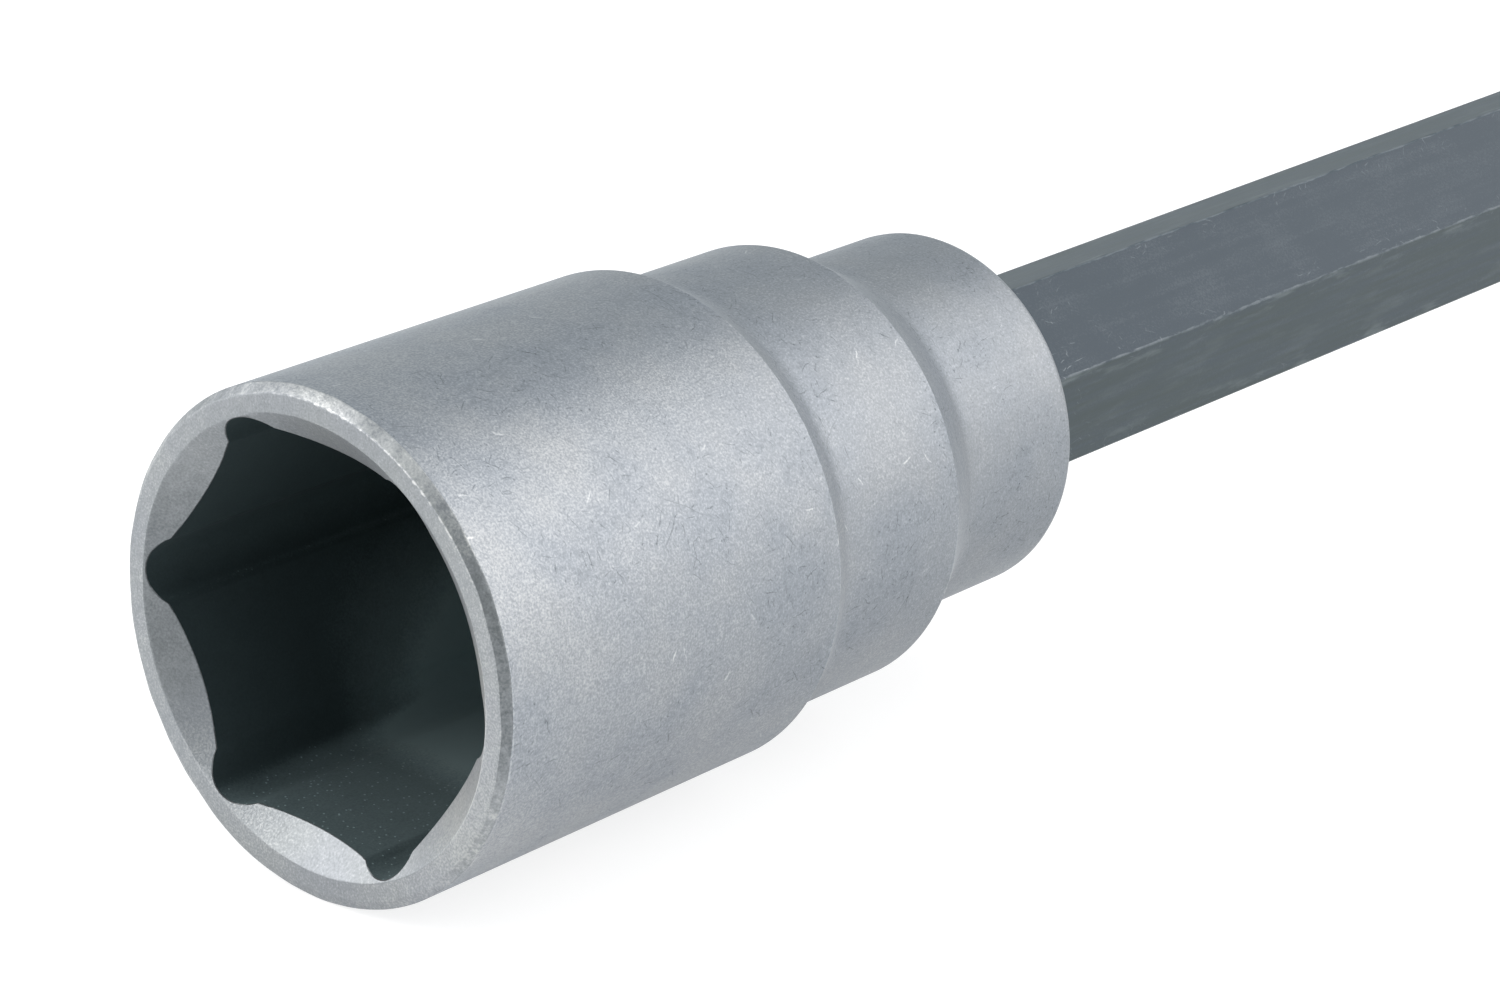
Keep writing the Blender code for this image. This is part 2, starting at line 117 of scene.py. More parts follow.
# %% Colour and node helpers
def linear(hex_colour):
    """Turns an sRGB hex colour into the linear values that shaders use."""
    values = []
    for start in (1, 3, 5):
        share = int(hex_colour[start:start + 2], 16) / 255
        values.append(share / 12.92 if share <= 0.04045 else ((share + 0.055) / 1.055) ** 2.4)
    return (*values, 1.0)


def set_inputs(tree, node, inputs):
    """Sets or links a node's inputs, each a value, a socket, or a node whose first output is meant."""
    named = inputs if isinstance(inputs, dict) else dict(enumerate(inputs))
    for name, value in named.items():
        if isinstance(value, bpy.types.Node):
            value = value.outputs[0]
        if isinstance(value, bpy.types.NodeSocket):
            tree.links.new(value, node.inputs[name])
        else:
            node.inputs[name].default_value = value


def add_node(tree, kind, inputs=(), stops=(), **settings):
    """Adds a shader node with its settings, its inputs and, on a colour ramp, its stops."""
    node = tree.nodes.new("ShaderNode" + kind)
    for name, value in settings.items():
        setattr(node, name, value)
    set_inputs(tree, node, inputs)
    for index, (place, hex_colour) in enumerate(stops):
        elements = node.color_ramp.elements
        element = elements[index] if index < len(elements) else elements.new(place)
        element.position = place
        element.color = linear(hex_colour)
    return node


def new_material(name):
    """A material, its node tree and its Principled shader."""
    material = bpy.data.materials.new(name)
    material.use_nodes = True
    return material, material.node_tree, material.node_tree.nodes["Principled BSDF"]


print("mid grey in linear light", round(linear("#808080")[0], 3))

# %% [markdown]
# ## Floor and light
# The tool lies on a white light table in a bright room, with a large soft box on each side. Steel shows
# what stands around it: the dim band along the socket's top is the room behind it, and the bright band
# down its side is the right-hand box. A picture on white is exposed until the table burns out. So the
# camera sees the table almost as pure white, while the steel still mirrors it with the tool's shadow on
# it, and a Light Path node tells the two apart.

# %% Floor
FLOOR_SIZE = 12.0
FLOOR_DROP = 0.1 * MM
FLOOR_GLOW = 0.42
BURNT_OUT = 0.6
BURNT_WHITE = 1.05

bpy.ops.mesh.primitive_plane_add(size=FLOOR_SIZE, location=(0.0, 0.0, -FLOOR_DROP))
floor = bpy.context.object
floor.name = "light_table"
# Opal acrylic, lit from below: a matt white without highlights, on which a shadow is faint and soft.
opal, tree, shader = new_material("opal_light_table")
set_inputs(tree, shader, {
    "Base Color": linear("#E7E7E7"), "Roughness": 0.7, "Specular IOR Level": 0.2,
    "Emission Color": linear("#FFFFFF"), "Emission Strength": FLOOR_GLOW,
})
seen = add_node(tree, "LightPath")
burnt = add_node(tree, "Math", [seen.outputs["Is Camera Ray"], BURNT_OUT], operation="MULTIPLY")
white = add_node(tree, "Emission", {"Color": linear("#FFFFFF"), "Strength": BURNT_WHITE})
lit = add_node(tree, "MixShader", [burnt, shader, white])
set_inputs(tree, tree.nodes["Material Output"], {"Surface": lit})
floor.data.materials.append(opal)
print("floor at", round(floor.location.z, 4))

# %% Room
SOFTLY = {"interpolation_type": "SMOOTHSTEP"}
ROOM_STRENGTH = 0.9
CAMERA_SIDE_STRENGTH = 0.4
# The room gets dimmer between these two cosines of the angle to the camera.
DIM_FROM, DIM_TO = 0.75, 0.98
LIT_DEPTH = 40.0 * MM

lit_point = rim_centre + ALONG_X * LIT_DEPTH
world = bpy.data.worlds.new("bright_room")
bpy.context.scene.world = world
world.use_nodes = True
tree = world.node_tree
way = add_node(tree, "TexCoord").outputs["Generated"]
camera_way = (camera.location - lit_point).normalized()
nearness = add_node(tree, "VectorMath", [way, camera_way], operation="DOT_PRODUCT").outputs["Value"]
fall_off = add_node(
    tree, "MapRange", [nearness, DIM_FROM, DIM_TO, ROOM_STRENGTH, CAMERA_SIDE_STRENGTH], **SOFTLY
)
set_inputs(tree, tree.nodes["Background"], {"Color": linear("#F1F8FB"), "Strength": fall_off})
print("room", world.name)

# %% Soft boxes
SOFT_BOX_DISTANCE = 2.4


def soft_box(name, way, size, watts, hex_colour):
    """A soft box, as wide and as high as its size says, that faces the socket."""
    way = way.normalized()
    bpy.ops.object.light_add(
        type="AREA",
        location=lit_point + way * SOFT_BOX_DISTANCE,
        rotation=(-way).to_track_quat("-Z", "Y").to_euler(),
    )
    light = bpy.context.object
    light.name = name
    light.data.shape = "RECTANGLE"
    light.data.size, light.data.size_y = size
    light.data.energy = watts
    light.data.color = linear(hex_colour)[:3]
    print(name, "at", [round(value, 2) for value in light.location])


soft_box("right_soft_box", Vector((0.69, -0.56, 0.51)), (2.88, 2.4), 41.5, "#FFFAF6")
soft_box("left_soft_box", Vector((-0.56, 0.66, 0.5)), (2.56, 2.4), 56.3, "#FFFDFB")
# Standard shows light as it is, without the film curve that would turn the white table grey.
bpy.context.scene.view_settings.view_transform = "Standard"

# %% [markdown]
# ## How the pieces are modelled
# Most of the tool is turned on a lathe. By hand you would draw half of the outline and spin it, or start
# from a circle and extrude it ring by ring. The second way is used for the socket, because its inside is
# not round: each ring is placed point by point, so the round outside, the cone and the hexagon share the
# same columns of points and no cut is needed. The other turned pieces are spun.

# %% Rings
def polar(depth, radius, angle):
    """A point: depth behind the rim, distance from the tool's axis, angle from straight up toward +Y."""
    return rim_centre + Vector((depth, radius * math.sin(angle), radius * math.cos(angle)))


def start_shape(name, places, filled=False):
    """Adds a circle with a point for each place, puts them there, and selects it all in edit mode."""
    bpy.ops.mesh.primitive_circle_add(vertices=len(places), radius=MM, location=(0.0, 0.0, 0.0))
    piece = bpy.context.object
    piece.name = name
    piece.data.name = name
    for point, place in zip(piece.data.vertices, places):
        point.co = place
    bpy.ops.object.mode_set(mode="EDIT")
    bpy.ops.mesh.select_all(action="SELECT")
    if filled:
        bpy.ops.mesh.edge_face_add()
        bpy.ops.mesh.select_all(action="SELECT")
    return piece


def extrude_ring(piece, places):
    """Extrudes the selected ring and moves the new points, which come last and in order."""
    bpy.ops.mesh.extrude_edges_move()
    shape = bmesh.from_edit_mesh(piece.data)
    shape.verts.ensure_lookup_table()
    for point, place in zip(shape.verts[-len(places):], places):
        point.co = place
    bmesh.update_edit_mesh(piece.data)


# %% [markdown]
# ## Closing, spinning and drilling
# A spun or extruded shape still has doubled points where it meets itself, and its faces may look inward,
# so one function closes every shape in the same way. A hole is cut with a spun cutter that is a little
# longer than the piece and flares at its faces: that leaves the chamfer of a real drilled hole in the
# same cut.

# %% Closing and spinning
SAME = 0.001 * MM
MERGED = 0.002 * MM


def select_edges(piece, test):
    """Selects the edges whose two end points pass a test, and nothing else."""
    bpy.ops.mesh.select_mode(type="EDGE")
    bpy.ops.mesh.select_all(action="DESELECT")
    shape = bmesh.from_edit_mesh(piece.data)
    for edge in shape.edges:
        edge.select = test(edge.verts[0].co, edge.verts[1].co)
    shape.select_flush(True)
    bmesh.update_edit_mesh(piece.data)


def close_shape():
    """Merges points that meet, turns faces outward (a thin C needs a second turn) and leaves edit mode."""
    bpy.ops.mesh.select_all(action="SELECT")
    bpy.ops.mesh.remove_doubles(threshold=MERGED)
    bpy.ops.mesh.normals_make_consistent(inside=False)
    if bmesh.from_edit_mesh(bpy.context.object.data).calc_volume(signed=True) < 0.0:
        bpy.ops.mesh.flip_normals()
    bpy.ops.object.mode_set(mode="OBJECT")


def spin_shape(name, outline, origin, axis, steps):
    """Spins half of an outline, given as (along the axis, radius) points that start and end on the axis."""
    across = ALONG_Z if axis.z == 0.0 else ALONG_X
    piece = start_shape(name, [origin + axis * along + across * radius for along, radius in outline])

    def on_axis(point):
        return (point - origin).cross(axis).length < SAME

    select_edges(piece, lambda a, b: on_axis(a) and on_axis(b))
    bpy.ops.mesh.delete(type="EDGE_FACE")
    bpy.ops.mesh.select_all(action="SELECT")
    bpy.ops.mesh.spin(steps=steps, angle=2 * math.pi, center=origin, axis=axis)
    close_shape()
    return piece


# %% Cutting and drilling
PAST = 3.0 * MM
ROUND_STEPS = 96


def make_active(piece):
    """Selects one piece and nothing else."""
    bpy.ops.object.select_all(action="DESELECT")
    piece.select_set(True)
    bpy.context.view_layer.objects.active = piece


def cut_with(piece, cutter):
    """Cuts a piece with another one, which is then deleted."""
    make_active(piece)
    bpy.ops.object.modifier_add(type="BOOLEAN")
    boolean = piece.modifiers[-1]
    boolean.operation = "DIFFERENCE"
    boolean.object = cutter
    bpy.ops.object.modifier_apply(modifier=boolean.name)
    bpy.data.objects.remove(cutter, do_unlink=True)


def drill(piece, radius, chamfer, reach, origin, axis):
    """Bores a hole through a piece, flared at the two faces that lie reach away from its origin."""
    flare = radius + chamfer + PAST
    outline = [(-reach - PAST, 0.0), (-reach - PAST, flare), (chamfer - reach, radius)]
    outline += [(reach - chamfer, radius), (reach + PAST, flare), (reach + PAST, 0.0)]
    cut_with(piece, spin_shape("drill", outline, origin, axis, ROUND_STEPS))


def pin_axis(node):
    """Where an upright pin's axis meets the tool's level; its slot shortens its box on the +X side."""
    low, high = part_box(node)
    return Vector((low.x + (high.y - low.y) / 2, (low.y + high.y) / 2, axis_z))


# %% Shading and rounded outlines
# Two roundings on one side of an outline leave a little of it between them.
LARGEST_SHARE = 0.49


def shade(piece, sharp_degrees):
    """Smooth shading up to an angle; weighted normals keep flats flat beside their small rounded edges."""
    make_active(piece)
    bpy.ops.object.shade_smooth_by_angle(angle=math.radians(sharp_degrees))
    bpy.ops.object.modifier_add(type="WEIGHTED_NORMAL")
    weighted = piece.modifiers[-1]
    weighted.keep_sharp = True
    weighted.weight = 100
    bpy.ops.object.modifier_apply(modifier=weighted.name)
    print(piece.name, "has", len(piece.data.polygons), "faces")


def rounded(corners, steps=5):
    """Points along an outline whose corners, (along, radius, rounding), are rounded off."""
    points = []
    last = len(corners) - 1
    for index, (along, radius, rounding) in enumerate(corners):
        here = Vector((along, radius))
        if rounding == 0.0 or index in (0, last):
            points.append(here)
            continue
        before = Vector(corners[index - 1][:2]) - here
        after = Vector(corners[index + 1][:2]) - here
        reach = rounding * math.tan((math.pi - before.angle(after)) / 2)
        start = here + before.normalized() * min(reach, before.length * LARGEST_SHARE)
        end = here + after.normalized() * min(reach, after.length * LARGEST_SHARE)
        for step in range(steps + 1):
            share = step / steps
            points.append(start * (1 - share) ** 2 + here * 2 * share * (1 - share) + end * share**2)
    return [(point.x, point.y) for point in points]


# %% [markdown]
# ## The wheel nut socket
# A forged blank is turned to three diameters with a tapered shoulder between them, and the hexagon for
# the nut is broached into its mouth. The broach has round corners that cut a little deeper than the
# hexagon, so the nut is driven by its flanks. A cone at the mouth leads the nut in. The rim's edges were
# broken by hand, which is why they waver a little: a sum of waves round the axis gives that.

# %% Socket sizes
NUT_ACROSS = 33.3 * MM
NUT_TURN = math.radians(23.8)
NUT_DEPTH = 34.0 * MM
CORNER_RELIEF = 3.4 * MM
CONE_ANGLE = math.radians(52.0)
RIM_INSIDE = 19.376 * MM
BARREL = 21.676 * MM
COLLAR = 19.776 * MM
NECK = 16.376 * MM
COLLAR_AT = 39.4 * MM
NECK_AT = 57.2 * MM
STUD_BORE = 14.05 * MM
STUD_DEPTH = 52.0 * MM
SHAFT_BORE_ACROSS = 17.6 * MM
SHAFT_TURN = math.radians(-13.0)

socket_length = socket_high.x - socket_low.x
nut_corner = NUT_ACROSS / math.sqrt(3)
relief_centre = nut_corner - CORNER_RELIEF
relief_span = math.atan2(CORNER_RELIEF * math.sin(math.pi / 3), relief_centre + CORNER_RELIEF / 2)
print("socket length", round(socket_length, 5), "nut corner", round(nut_corner, 5))

# %% Columns of points round the nut hexagon
RELIEF_POINTS = 14
FLANK_POINTS = 40


def hexagon_radius(across, turn, angle):
    """How far a plain hexagon's side is from the axis at an angle; turn is the angle of one corner."""
    from_middle = (angle - turn) % (math.pi / 3) - math.pi / 6
    return across / 2 / math.cos(from_middle)


def nut_columns():
    """(angle, radius) round the nut hexagon: a round relief in each corner, then the straight flank."""
    found = []
    for corner in range(6):
        middle = NUT_TURN + corner * math.pi / 3
        for step in range(RELIEF_POINTS + 1):
            swing = math.pi / 3 * (2 * step / RELIEF_POINTS - 1)
            along = relief_centre + CORNER_RELIEF * math.cos(swing)
            across = CORNER_RELIEF * math.sin(swing)
            found.append((middle + math.atan2(across, along), math.hypot(along, across)))
        for step in range(1, FLANK_POINTS + 1):
            angle = middle + relief_span + (math.pi / 3 - 2 * relief_span) * step / (FLANK_POINTS + 1)
            found.append((angle, hexagon_radius(NUT_ACROSS, NUT_TURN, angle)))
    return found


columns = nut_columns()
print("columns", len(columns))


# %% Kinds of ring
def waver(seed, size, slowest=3, fastest=40):
    """A small uneven swing round the axis, as a function of the angle."""
    dice = random.Random(seed)
    waves = []
    for turns in range(slowest, fastest):
        waves.append((turns, dice.uniform(0.0, 2 * math.pi), dice.uniform(0.2, 1.0) / math.sqrt(turns)))
    total = math.sqrt(sum(strength**2 for _, _, strength in waves) / 2)

    def swing(angle):
        return size / total * sum(s * math.sin(turns * angle + phase) for turns, phase, s in waves)

    return swing


def round_ring(depth, radius):
    """A plain round ring."""
    return [polar(depth, radius, angle) for angle, _ in columns]


def worn_ring(depth, radius, swing, depth_share, radius_share):
    """A ring on the rim that swings in depth and radius."""
    return [
        polar(depth + depth_share * swing(angle), radius + radius_share * swing(angle), angle)
        for angle, _ in columns
    ]


def shaft_ring(depth, across):
    """A ring along the hexagon that the shaft sits in."""
    return [polar(depth, hexagon_radius(across, SHAFT_TURN, angle), angle) for angle, _ in columns]


def flank_ring(outward, deeper):
    """A ring along the edge where the cone meets the flanks, set outward or deeper by a little."""
    slope = math.tan(CONE_ANGLE)
    return [polar((RIM_INSIDE - nut) / slope + deeper, nut + outward, angle) for angle, nut in columns]


# %% Socket outside
SHOULDER_SLOPE = math.radians(30.0)
SHOULDER_EDGE = 0.5 * MM
SHOULDER_FILLET = 5.5 * MM
BACK_EDGE = 1.1 * MM
BACK_FACE = 4.0 * MM
BORE_EDGE = 0.8 * MM
RIM_ZONE = 4.0 * MM

shoulder_run = 1 / math.tan(SHOULDER_SLOPE)
socket_outline = rounded([
    (socket_length, NECK - BACK_FACE, 0.0),
    (socket_length, NECK, BACK_EDGE),
    (NECK_AT + (COLLAR - NECK) * shoulder_run, NECK, SHOULDER_FILLET),
    (NECK_AT, COLLAR, SHOULDER_EDGE),
    (COLLAR_AT + (BARREL - COLLAR) * shoulder_run, COLLAR, SHOULDER_FILLET),
    (COLLAR_AT, BARREL, SHOULDER_EDGE),
    (RIM_ZONE, BARREL, 0.0),
])
socket = start_shape("socket_forging", shaft_ring(socket_length, SHAFT_BORE_ACROSS + BORE_EDGE))
for depth, radius in socket_outline:
    extrude_ring(socket, round_ring(depth, radius))
print("rings outside", len(socket_outline))

# %% Socket rim
RIM_EDGE = 0.08 * MM
RIM_CHAMFER = 0.68 * MM
CHAMFER_DEPTH = 0.58 * MM
CHAMFER_TILT = 0.3 * MM

chamfer_waver = waver(seed=11, size=0.03 * MM)
rim_swing = waver(seed=12, size=0.045 * MM)
cone_swing = waver(seed=13, size=0.015 * MM)


def chamfer_swing(angle):
    """The chamfer is filed deeper at the top than at the bottom, and wavers."""
    return CHAMFER_TILT * math.cos(angle) + chamfer_waver(angle)


rim_rings = [
    (CHAMFER_DEPTH + 3 * RIM_EDGE, BARREL, chamfer_swing, 1.0, 0.0),
    (CHAMFER_DEPTH + RIM_EDGE, BARREL, chamfer_swing, 1.0, 0.0),
    (CHAMFER_DEPTH - RIM_EDGE / 2, BARREL - RIM_EDGE / 2, chamfer_swing, 1.0, 0.0),
    (RIM_EDGE / 2, BARREL - RIM_CHAMFER + RIM_EDGE / 2, rim_swing, 0.0, 1.0),
    (0.0, BARREL - RIM_CHAMFER - RIM_EDGE, rim_swing, 0.0, 1.0),
    (0.0, BARREL - RIM_CHAMFER - 2 * RIM_EDGE, rim_swing, 0.0, 1.0),
    (0.0, RIM_INSIDE + RIM_EDGE, cone_swing, 0.0, 1.0),
    (RIM_EDGE / math.tan(CONE_ANGLE), RIM_INSIDE - RIM_EDGE, cone_swing, 0.0, 1.0),
]
for ring in rim_rings:
    extrude_ring(socket, worn_ring(*ring))
print("rings at the rim", len(rim_rings))

# %% Socket inside
FLANK_EDGE = 0.06 * MM
LEDGE_SLOPE = 0.6 * MM
TURNED_SHARP = 27.0

inside_rings = [
    flank_ring(FLANK_EDGE, -FLANK_EDGE),
    flank_ring(0.0, FLANK_EDGE),
    [polar(NUT_DEPTH, nut, angle) for angle, nut in columns],
    round_ring(NUT_DEPTH + LEDGE_SLOPE, STUD_BORE),
    round_ring(STUD_DEPTH, STUD_BORE),
    shaft_ring(STUD_DEPTH, SHAFT_BORE_ACROSS),
    shaft_ring(socket_length - BORE_EDGE / 2, SHAFT_BORE_ACROSS),
    shaft_ring(socket_length, SHAFT_BORE_ACROSS + BORE_EDGE),
]
for ring in inside_rings:
    extrude_ring(socket, ring)
close_shape()
shade(socket, TURNED_SHARP)
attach(socket, "brace")
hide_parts("wheel_nut_socket")

# %% [markdown]
# ## The hexagon shaft
# The shaft is drawn hexagon bar. Drawing leaves its edges slightly round, and that rounding is what
# catches the light along the bar. A ring with a short arc in each corner makes the section; it is
# extruded along the bar, a little smaller at both ends, and the ends are filled. A hole for the head's
# pin goes through it.

# %% Shaft
SHAFT_ACROSS = 17.0 * MM
SHAFT_EDGE = 0.4 * MM
SHAFT_END = 0.8 * MM
HEAD_PIN_HOLE = 3.3 * MM
EDGE_POINTS = 5

corner_angles = [SHAFT_TURN + side * math.pi / 3 for side in range(6)]


def hexagon_section(depth, across):
    """A hexagon with rounded corners, as a ring of points."""
    places = []
    for corner in corner_angles:
        centre = polar(depth, (across / 2 - SHAFT_EDGE) / math.cos(math.pi / 6), corner)
        for step in range(EDGE_POINTS + 1):
            way = corner + math.pi / 3 * (step / EDGE_POINTS - 0.5)
            places.append(centre + SHAFT_EDGE * Vector((0.0, math.sin(way), math.cos(way))))
    return places


shaft_front = shaft_low.x - mouth_x
shaft_back = shaft_high.x - mouth_x
end_across = SHAFT_ACROSS - 2 * SHAFT_END
shaft = start_shape("hexagon_shaft", hexagon_section(shaft_front, end_across), filled=True)
extrude_ring(shaft, hexagon_section(shaft_front + SHAFT_END, SHAFT_ACROSS))
extrude_ring(shaft, hexagon_section(shaft_back - SHAFT_END, SHAFT_ACROSS))
extrude_ring(shaft, hexagon_section(shaft_back, end_across))
bpy.ops.mesh.edge_face_add()
close_shape()
drill(shaft, HEAD_PIN_HOLE, 0.0, SHAFT_ACROSS, pin_axis("head_pin"), ALONG_Z)
shade(shaft, TURNED_SHARP)
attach(shaft, "brace")
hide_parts("hex_shaft")

# %% [markdown]
# ## The cross head
# The head is turned like the socket, with a neck that takes the shaft, and then milled flat on four sides
# so that the tool doesn't roll. Bisect does the milling: each cut drops what lies outside and fills the
# flat. The edges are broken with a small bevel before the holes are bored with cutters that carry their
# own chamfers.

# %% Head blank
HEAD = 24.976 * MM
HEAD_NECK_LENGTH = 16.0 * MM
HEAD_COVE = 6.0 * MM
HEAD_FRONT_EDGE = 1.5 * MM
HEAD_BACK_EDGE = 5.0 * MM
COVE_STEPS = 10
CORNER_STEPS = 8
LARGE_STEPS = 144

head_length = head_high.x - head_low.x
head_front = Vector((head_low.x, 0.0, axis_z))
cove_rise = HEAD - HEAD_FRONT_EDGE - NECK
head_outline = [(0.0, 0.0, 0.0), (0.0, NECK, BACK_EDGE)]
for step in range(COVE_STEPS + 1):
    turn = math.pi / 2 * step / COVE_STEPS
    along = HEAD_NECK_LENGTH - HEAD_COVE + HEAD_COVE * math.sin(turn)
    head_outline.append((along, NECK + cove_rise * (1 - math.cos(turn)), 0.0))
head_outline += [(HEAD_NECK_LENGTH, HEAD, HEAD_FRONT_EDGE), (head_length, HEAD, HEAD_BACK_EDGE)]
head_outline.append((head_length, 0.0, 0.0))
head = spin_shape(
    "cross_head_forging", rounded(head_outline, CORNER_STEPS), head_front, ALONG_X, LARGE_STEPS
)
print("head length", round(head_length, 5))

# %% Head flats
HEAD_EDGE = 0.25 * MM
MILLED_SHARP = 18.0

bpy.ops.object.mode_set(mode="EDIT")
for way in (ALONG_Y, -ALONG_Y, ALONG_Z, -ALONG_Z):
    bpy.ops.mesh.select_all(action="SELECT")
    bpy.ops.mesh.bisect(plane_co=head_front + way * BARREL, plane_no=way, use_fill=True, clear_outer=True)
bpy.ops.mesh.select_mode(type="EDGE")
bpy.ops.mesh.select_all(action="DESELECT")
bpy.ops.mesh.edges_select_sharp(sharpness=math.radians(MILLED_SHARP))
bpy.ops.mesh.bevel(offset=HEAD_EDGE, segments=2, affect="EDGES")
close_shape()
for point in head.data.vertices:
    for side in (1, 2):
        from_axis = point.co[side] - head_front[side]
        point.co[side] = head_front[side] + max(-BARREL, min(BARREL, from_axis))
print("head points, none beyond the flats:", len(head.data.vertices))

# %% Head holes
BAR_BORE = 9.3 * MM
BAR_BORE_CHAMFER = 1.0 * MM
HEAD_SEAT = 26.0 * MM
SLEEVE_HOLE = 3.3 * MM
HOLE_CHAMFER = 0.35 * MM
SMALL_STEPS = 64
BORED_SHARP = 20.0

drill(head, BAR_BORE, BAR_BORE_CHAMFER, BARREL, bar_centre, ALONG_Y)
drill(head, HEAD_PIN_HOLE, HOLE_CHAMFER, NECK, pin_axis("head_pin"), ALONG_Z)
hole_outline = [(0.0, 0.0), (0.0, SLEEVE_HOLE), (BARREL - HOLE_CHAMFER, SLEEVE_HOLE)]
hole_outline += [(BARREL + PAST, SLEEVE_HOLE + HOLE_CHAMFER + PAST), (BARREL + PAST, 0.0)]
cut_with(head, spin_shape("sleeve_hole", hole_outline, bar_centre, ALONG_Z, SMALL_STEPS))
hole_depth = head_front.x - mouth_x - PAST
hole_corners = [polar(hole_depth, SHAFT_BORE_ACROSS / math.sqrt(3), angle) for angle in corner_angles]
broach = start_shape("shaft_broach", hole_corners, filled=True)
bpy.ops.mesh.extrude_region_move(TRANSFORM_OT_translate={"value": (HEAD_SEAT + PAST, 0.0, 0.0)})
close_shape()
cut_with(head, broach)
shade(head, BORED_SHARP)
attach(head, "brace")
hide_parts("cross_head")

# %% [markdown]
# ## The tommy bar and its knobs
# The bar is a plain ground rod with a thinner spigot at each end. A domed knob sits on each spigot and is
# pinned, so that the bar can't be pulled out of the head. All three are spun about the bar's own axis.
# The second knob is a copy of the first with its own mesh, turned round by mirroring it.

# %% Tommy bar
BAR = 9.0 * MM
BAR_SHOULDER = 226.0 * MM
BAR_EDGE = 0.5 * MM
SPIGOT = 6.0 * MM
SPIGOT_CHAMFER = 0.8 * MM
KNOB_PIN_HOLE = 1.8 * MM
KNOB_PIN_CHAMFER = 0.2 * MM
SPUN_SHARP = 25.0

bar_reach = bar_high.y
right_half = rounded([
    (0.0, BAR, 0.0),
    (BAR_SHOULDER, BAR, BAR_EDGE),
    (BAR_SHOULDER, SPIGOT, 0.0),
    (bar_reach - SPIGOT_CHAMFER, SPIGOT, 0.0),
    (bar_reach, SPIGOT - SPIGOT_CHAMFER, 0.0),
    (bar_reach, 0.0, 0.0),
])
bar_outline = [(-along, radius) for along, radius in reversed(right_half)] + right_half[1:]
bar = spin_shape("tommy_bar_rod", bar_outline, bar_centre, ALONG_Y, ROUND_STEPS)
for node in ("knob_pin_left", "knob_pin_right"):
    drill(bar, KNOB_PIN_HOLE, KNOB_PIN_CHAMFER, SPIGOT, pin_axis(node), ALONG_Z)
shade(bar, SPUN_SHARP)
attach(bar, "bar")
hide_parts("tommy_bar")

# %% Knob
KNOB = 13.0 * MM
KNOB_LENGTH = 24.0 * MM
KNOB_DOME = 7.0 * MM
KNOB_EDGE = 1.2 * MM
KNOB_EDGE_ROUNDING = 0.4 * MM
KNOB_FACE_ROUNDING = 0.3 * MM
KNOB_BORE = 6.3 * MM
KNOB_BORE_DEPTH = 16.0 * MM
KNOB_BORE_ROUNDING = 0.2 * MM
DOME_STEPS = 14
KNOB_CORNER_STEPS = 4

knob_low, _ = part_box("end_knob_left")
knob_outline = []
for step in range(DOME_STEPS + 1):
    turn = math.pi / 2 * step / DOME_STEPS
    along = KNOB_LENGTH - KNOB_DOME + KNOB_DOME * math.cos(turn)
    knob_outline.append((along, KNOB * math.sin(turn), 0.0))
knob_outline += [
    (KNOB_EDGE, KNOB, KNOB_EDGE_ROUNDING),
    (0.0, KNOB - KNOB_EDGE, KNOB_FACE_ROUNDING),
    (0.0, KNOB_BORE, KNOB_BORE_ROUNDING),
    (KNOB_BORE_DEPTH, KNOB_BORE, 0.0),
    (KNOB_BORE_DEPTH, 0.0, 0.0),
]
knob_base = Vector((bar_x, knob_low.y, axis_z))
left_knob = spin_shape(
    "left_end_knob", rounded(knob_outline, KNOB_CORNER_STEPS), knob_base, ALONG_Y, ROUND_STEPS
)
drill(left_knob, KNOB_PIN_HOLE, KNOB_PIN_CHAMFER, KNOB, pin_axis("knob_pin_left"), ALONG_Z)
shade(left_knob, SPUN_SHARP)


# %% The other knob
def mirrored_copy(piece, name):
    """A copy of a piece with its own mesh, mirrored to the other end of the bar."""
    make_active(piece)
    bpy.ops.object.duplicate()
    copy = bpy.context.object
    copy.name = name
    copy.data.name = name
    bpy.ops.object.mode_set(mode="EDIT")
    bpy.ops.mesh.select_all(action="SELECT")
    bpy.ops.transform.resize(value=(1.0, -1.0, 1.0), center_override=(0.0, 0.0, 0.0))
    bpy.ops.mesh.normals_make_consistent(inside=False)
    bpy.ops.object.mode_set(mode="OBJECT")
    print(name, "mirrored from", piece.name)
    return copy


right_knob = mirrored_copy(left_knob, "right_end_knob")
for knob, node in ((left_knob, "end_knob_left"), (right_knob, "end_knob_right")):
    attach(knob, "bar")
    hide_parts(node)

# %% [markdown]
# ## Pins and the detent sleeve
# The shaft and the knobs are held by spring pins, rolled from strip with a slot along them, and the
# detent's sleeve is a slotted screw in the top of the head. The pin's section is a circle of points
# shaped into a C, filled, extruded to length and bevelled at both ends.

# %% Spring pins
PIN_WALL_SHARE = 0.2
PIN_SLOT_SHARE = 0.25
PIN_BEVEL_SHARE = 0.08
PIN_ARC_POINTS = 40
SMALL_SHARP = 30.0


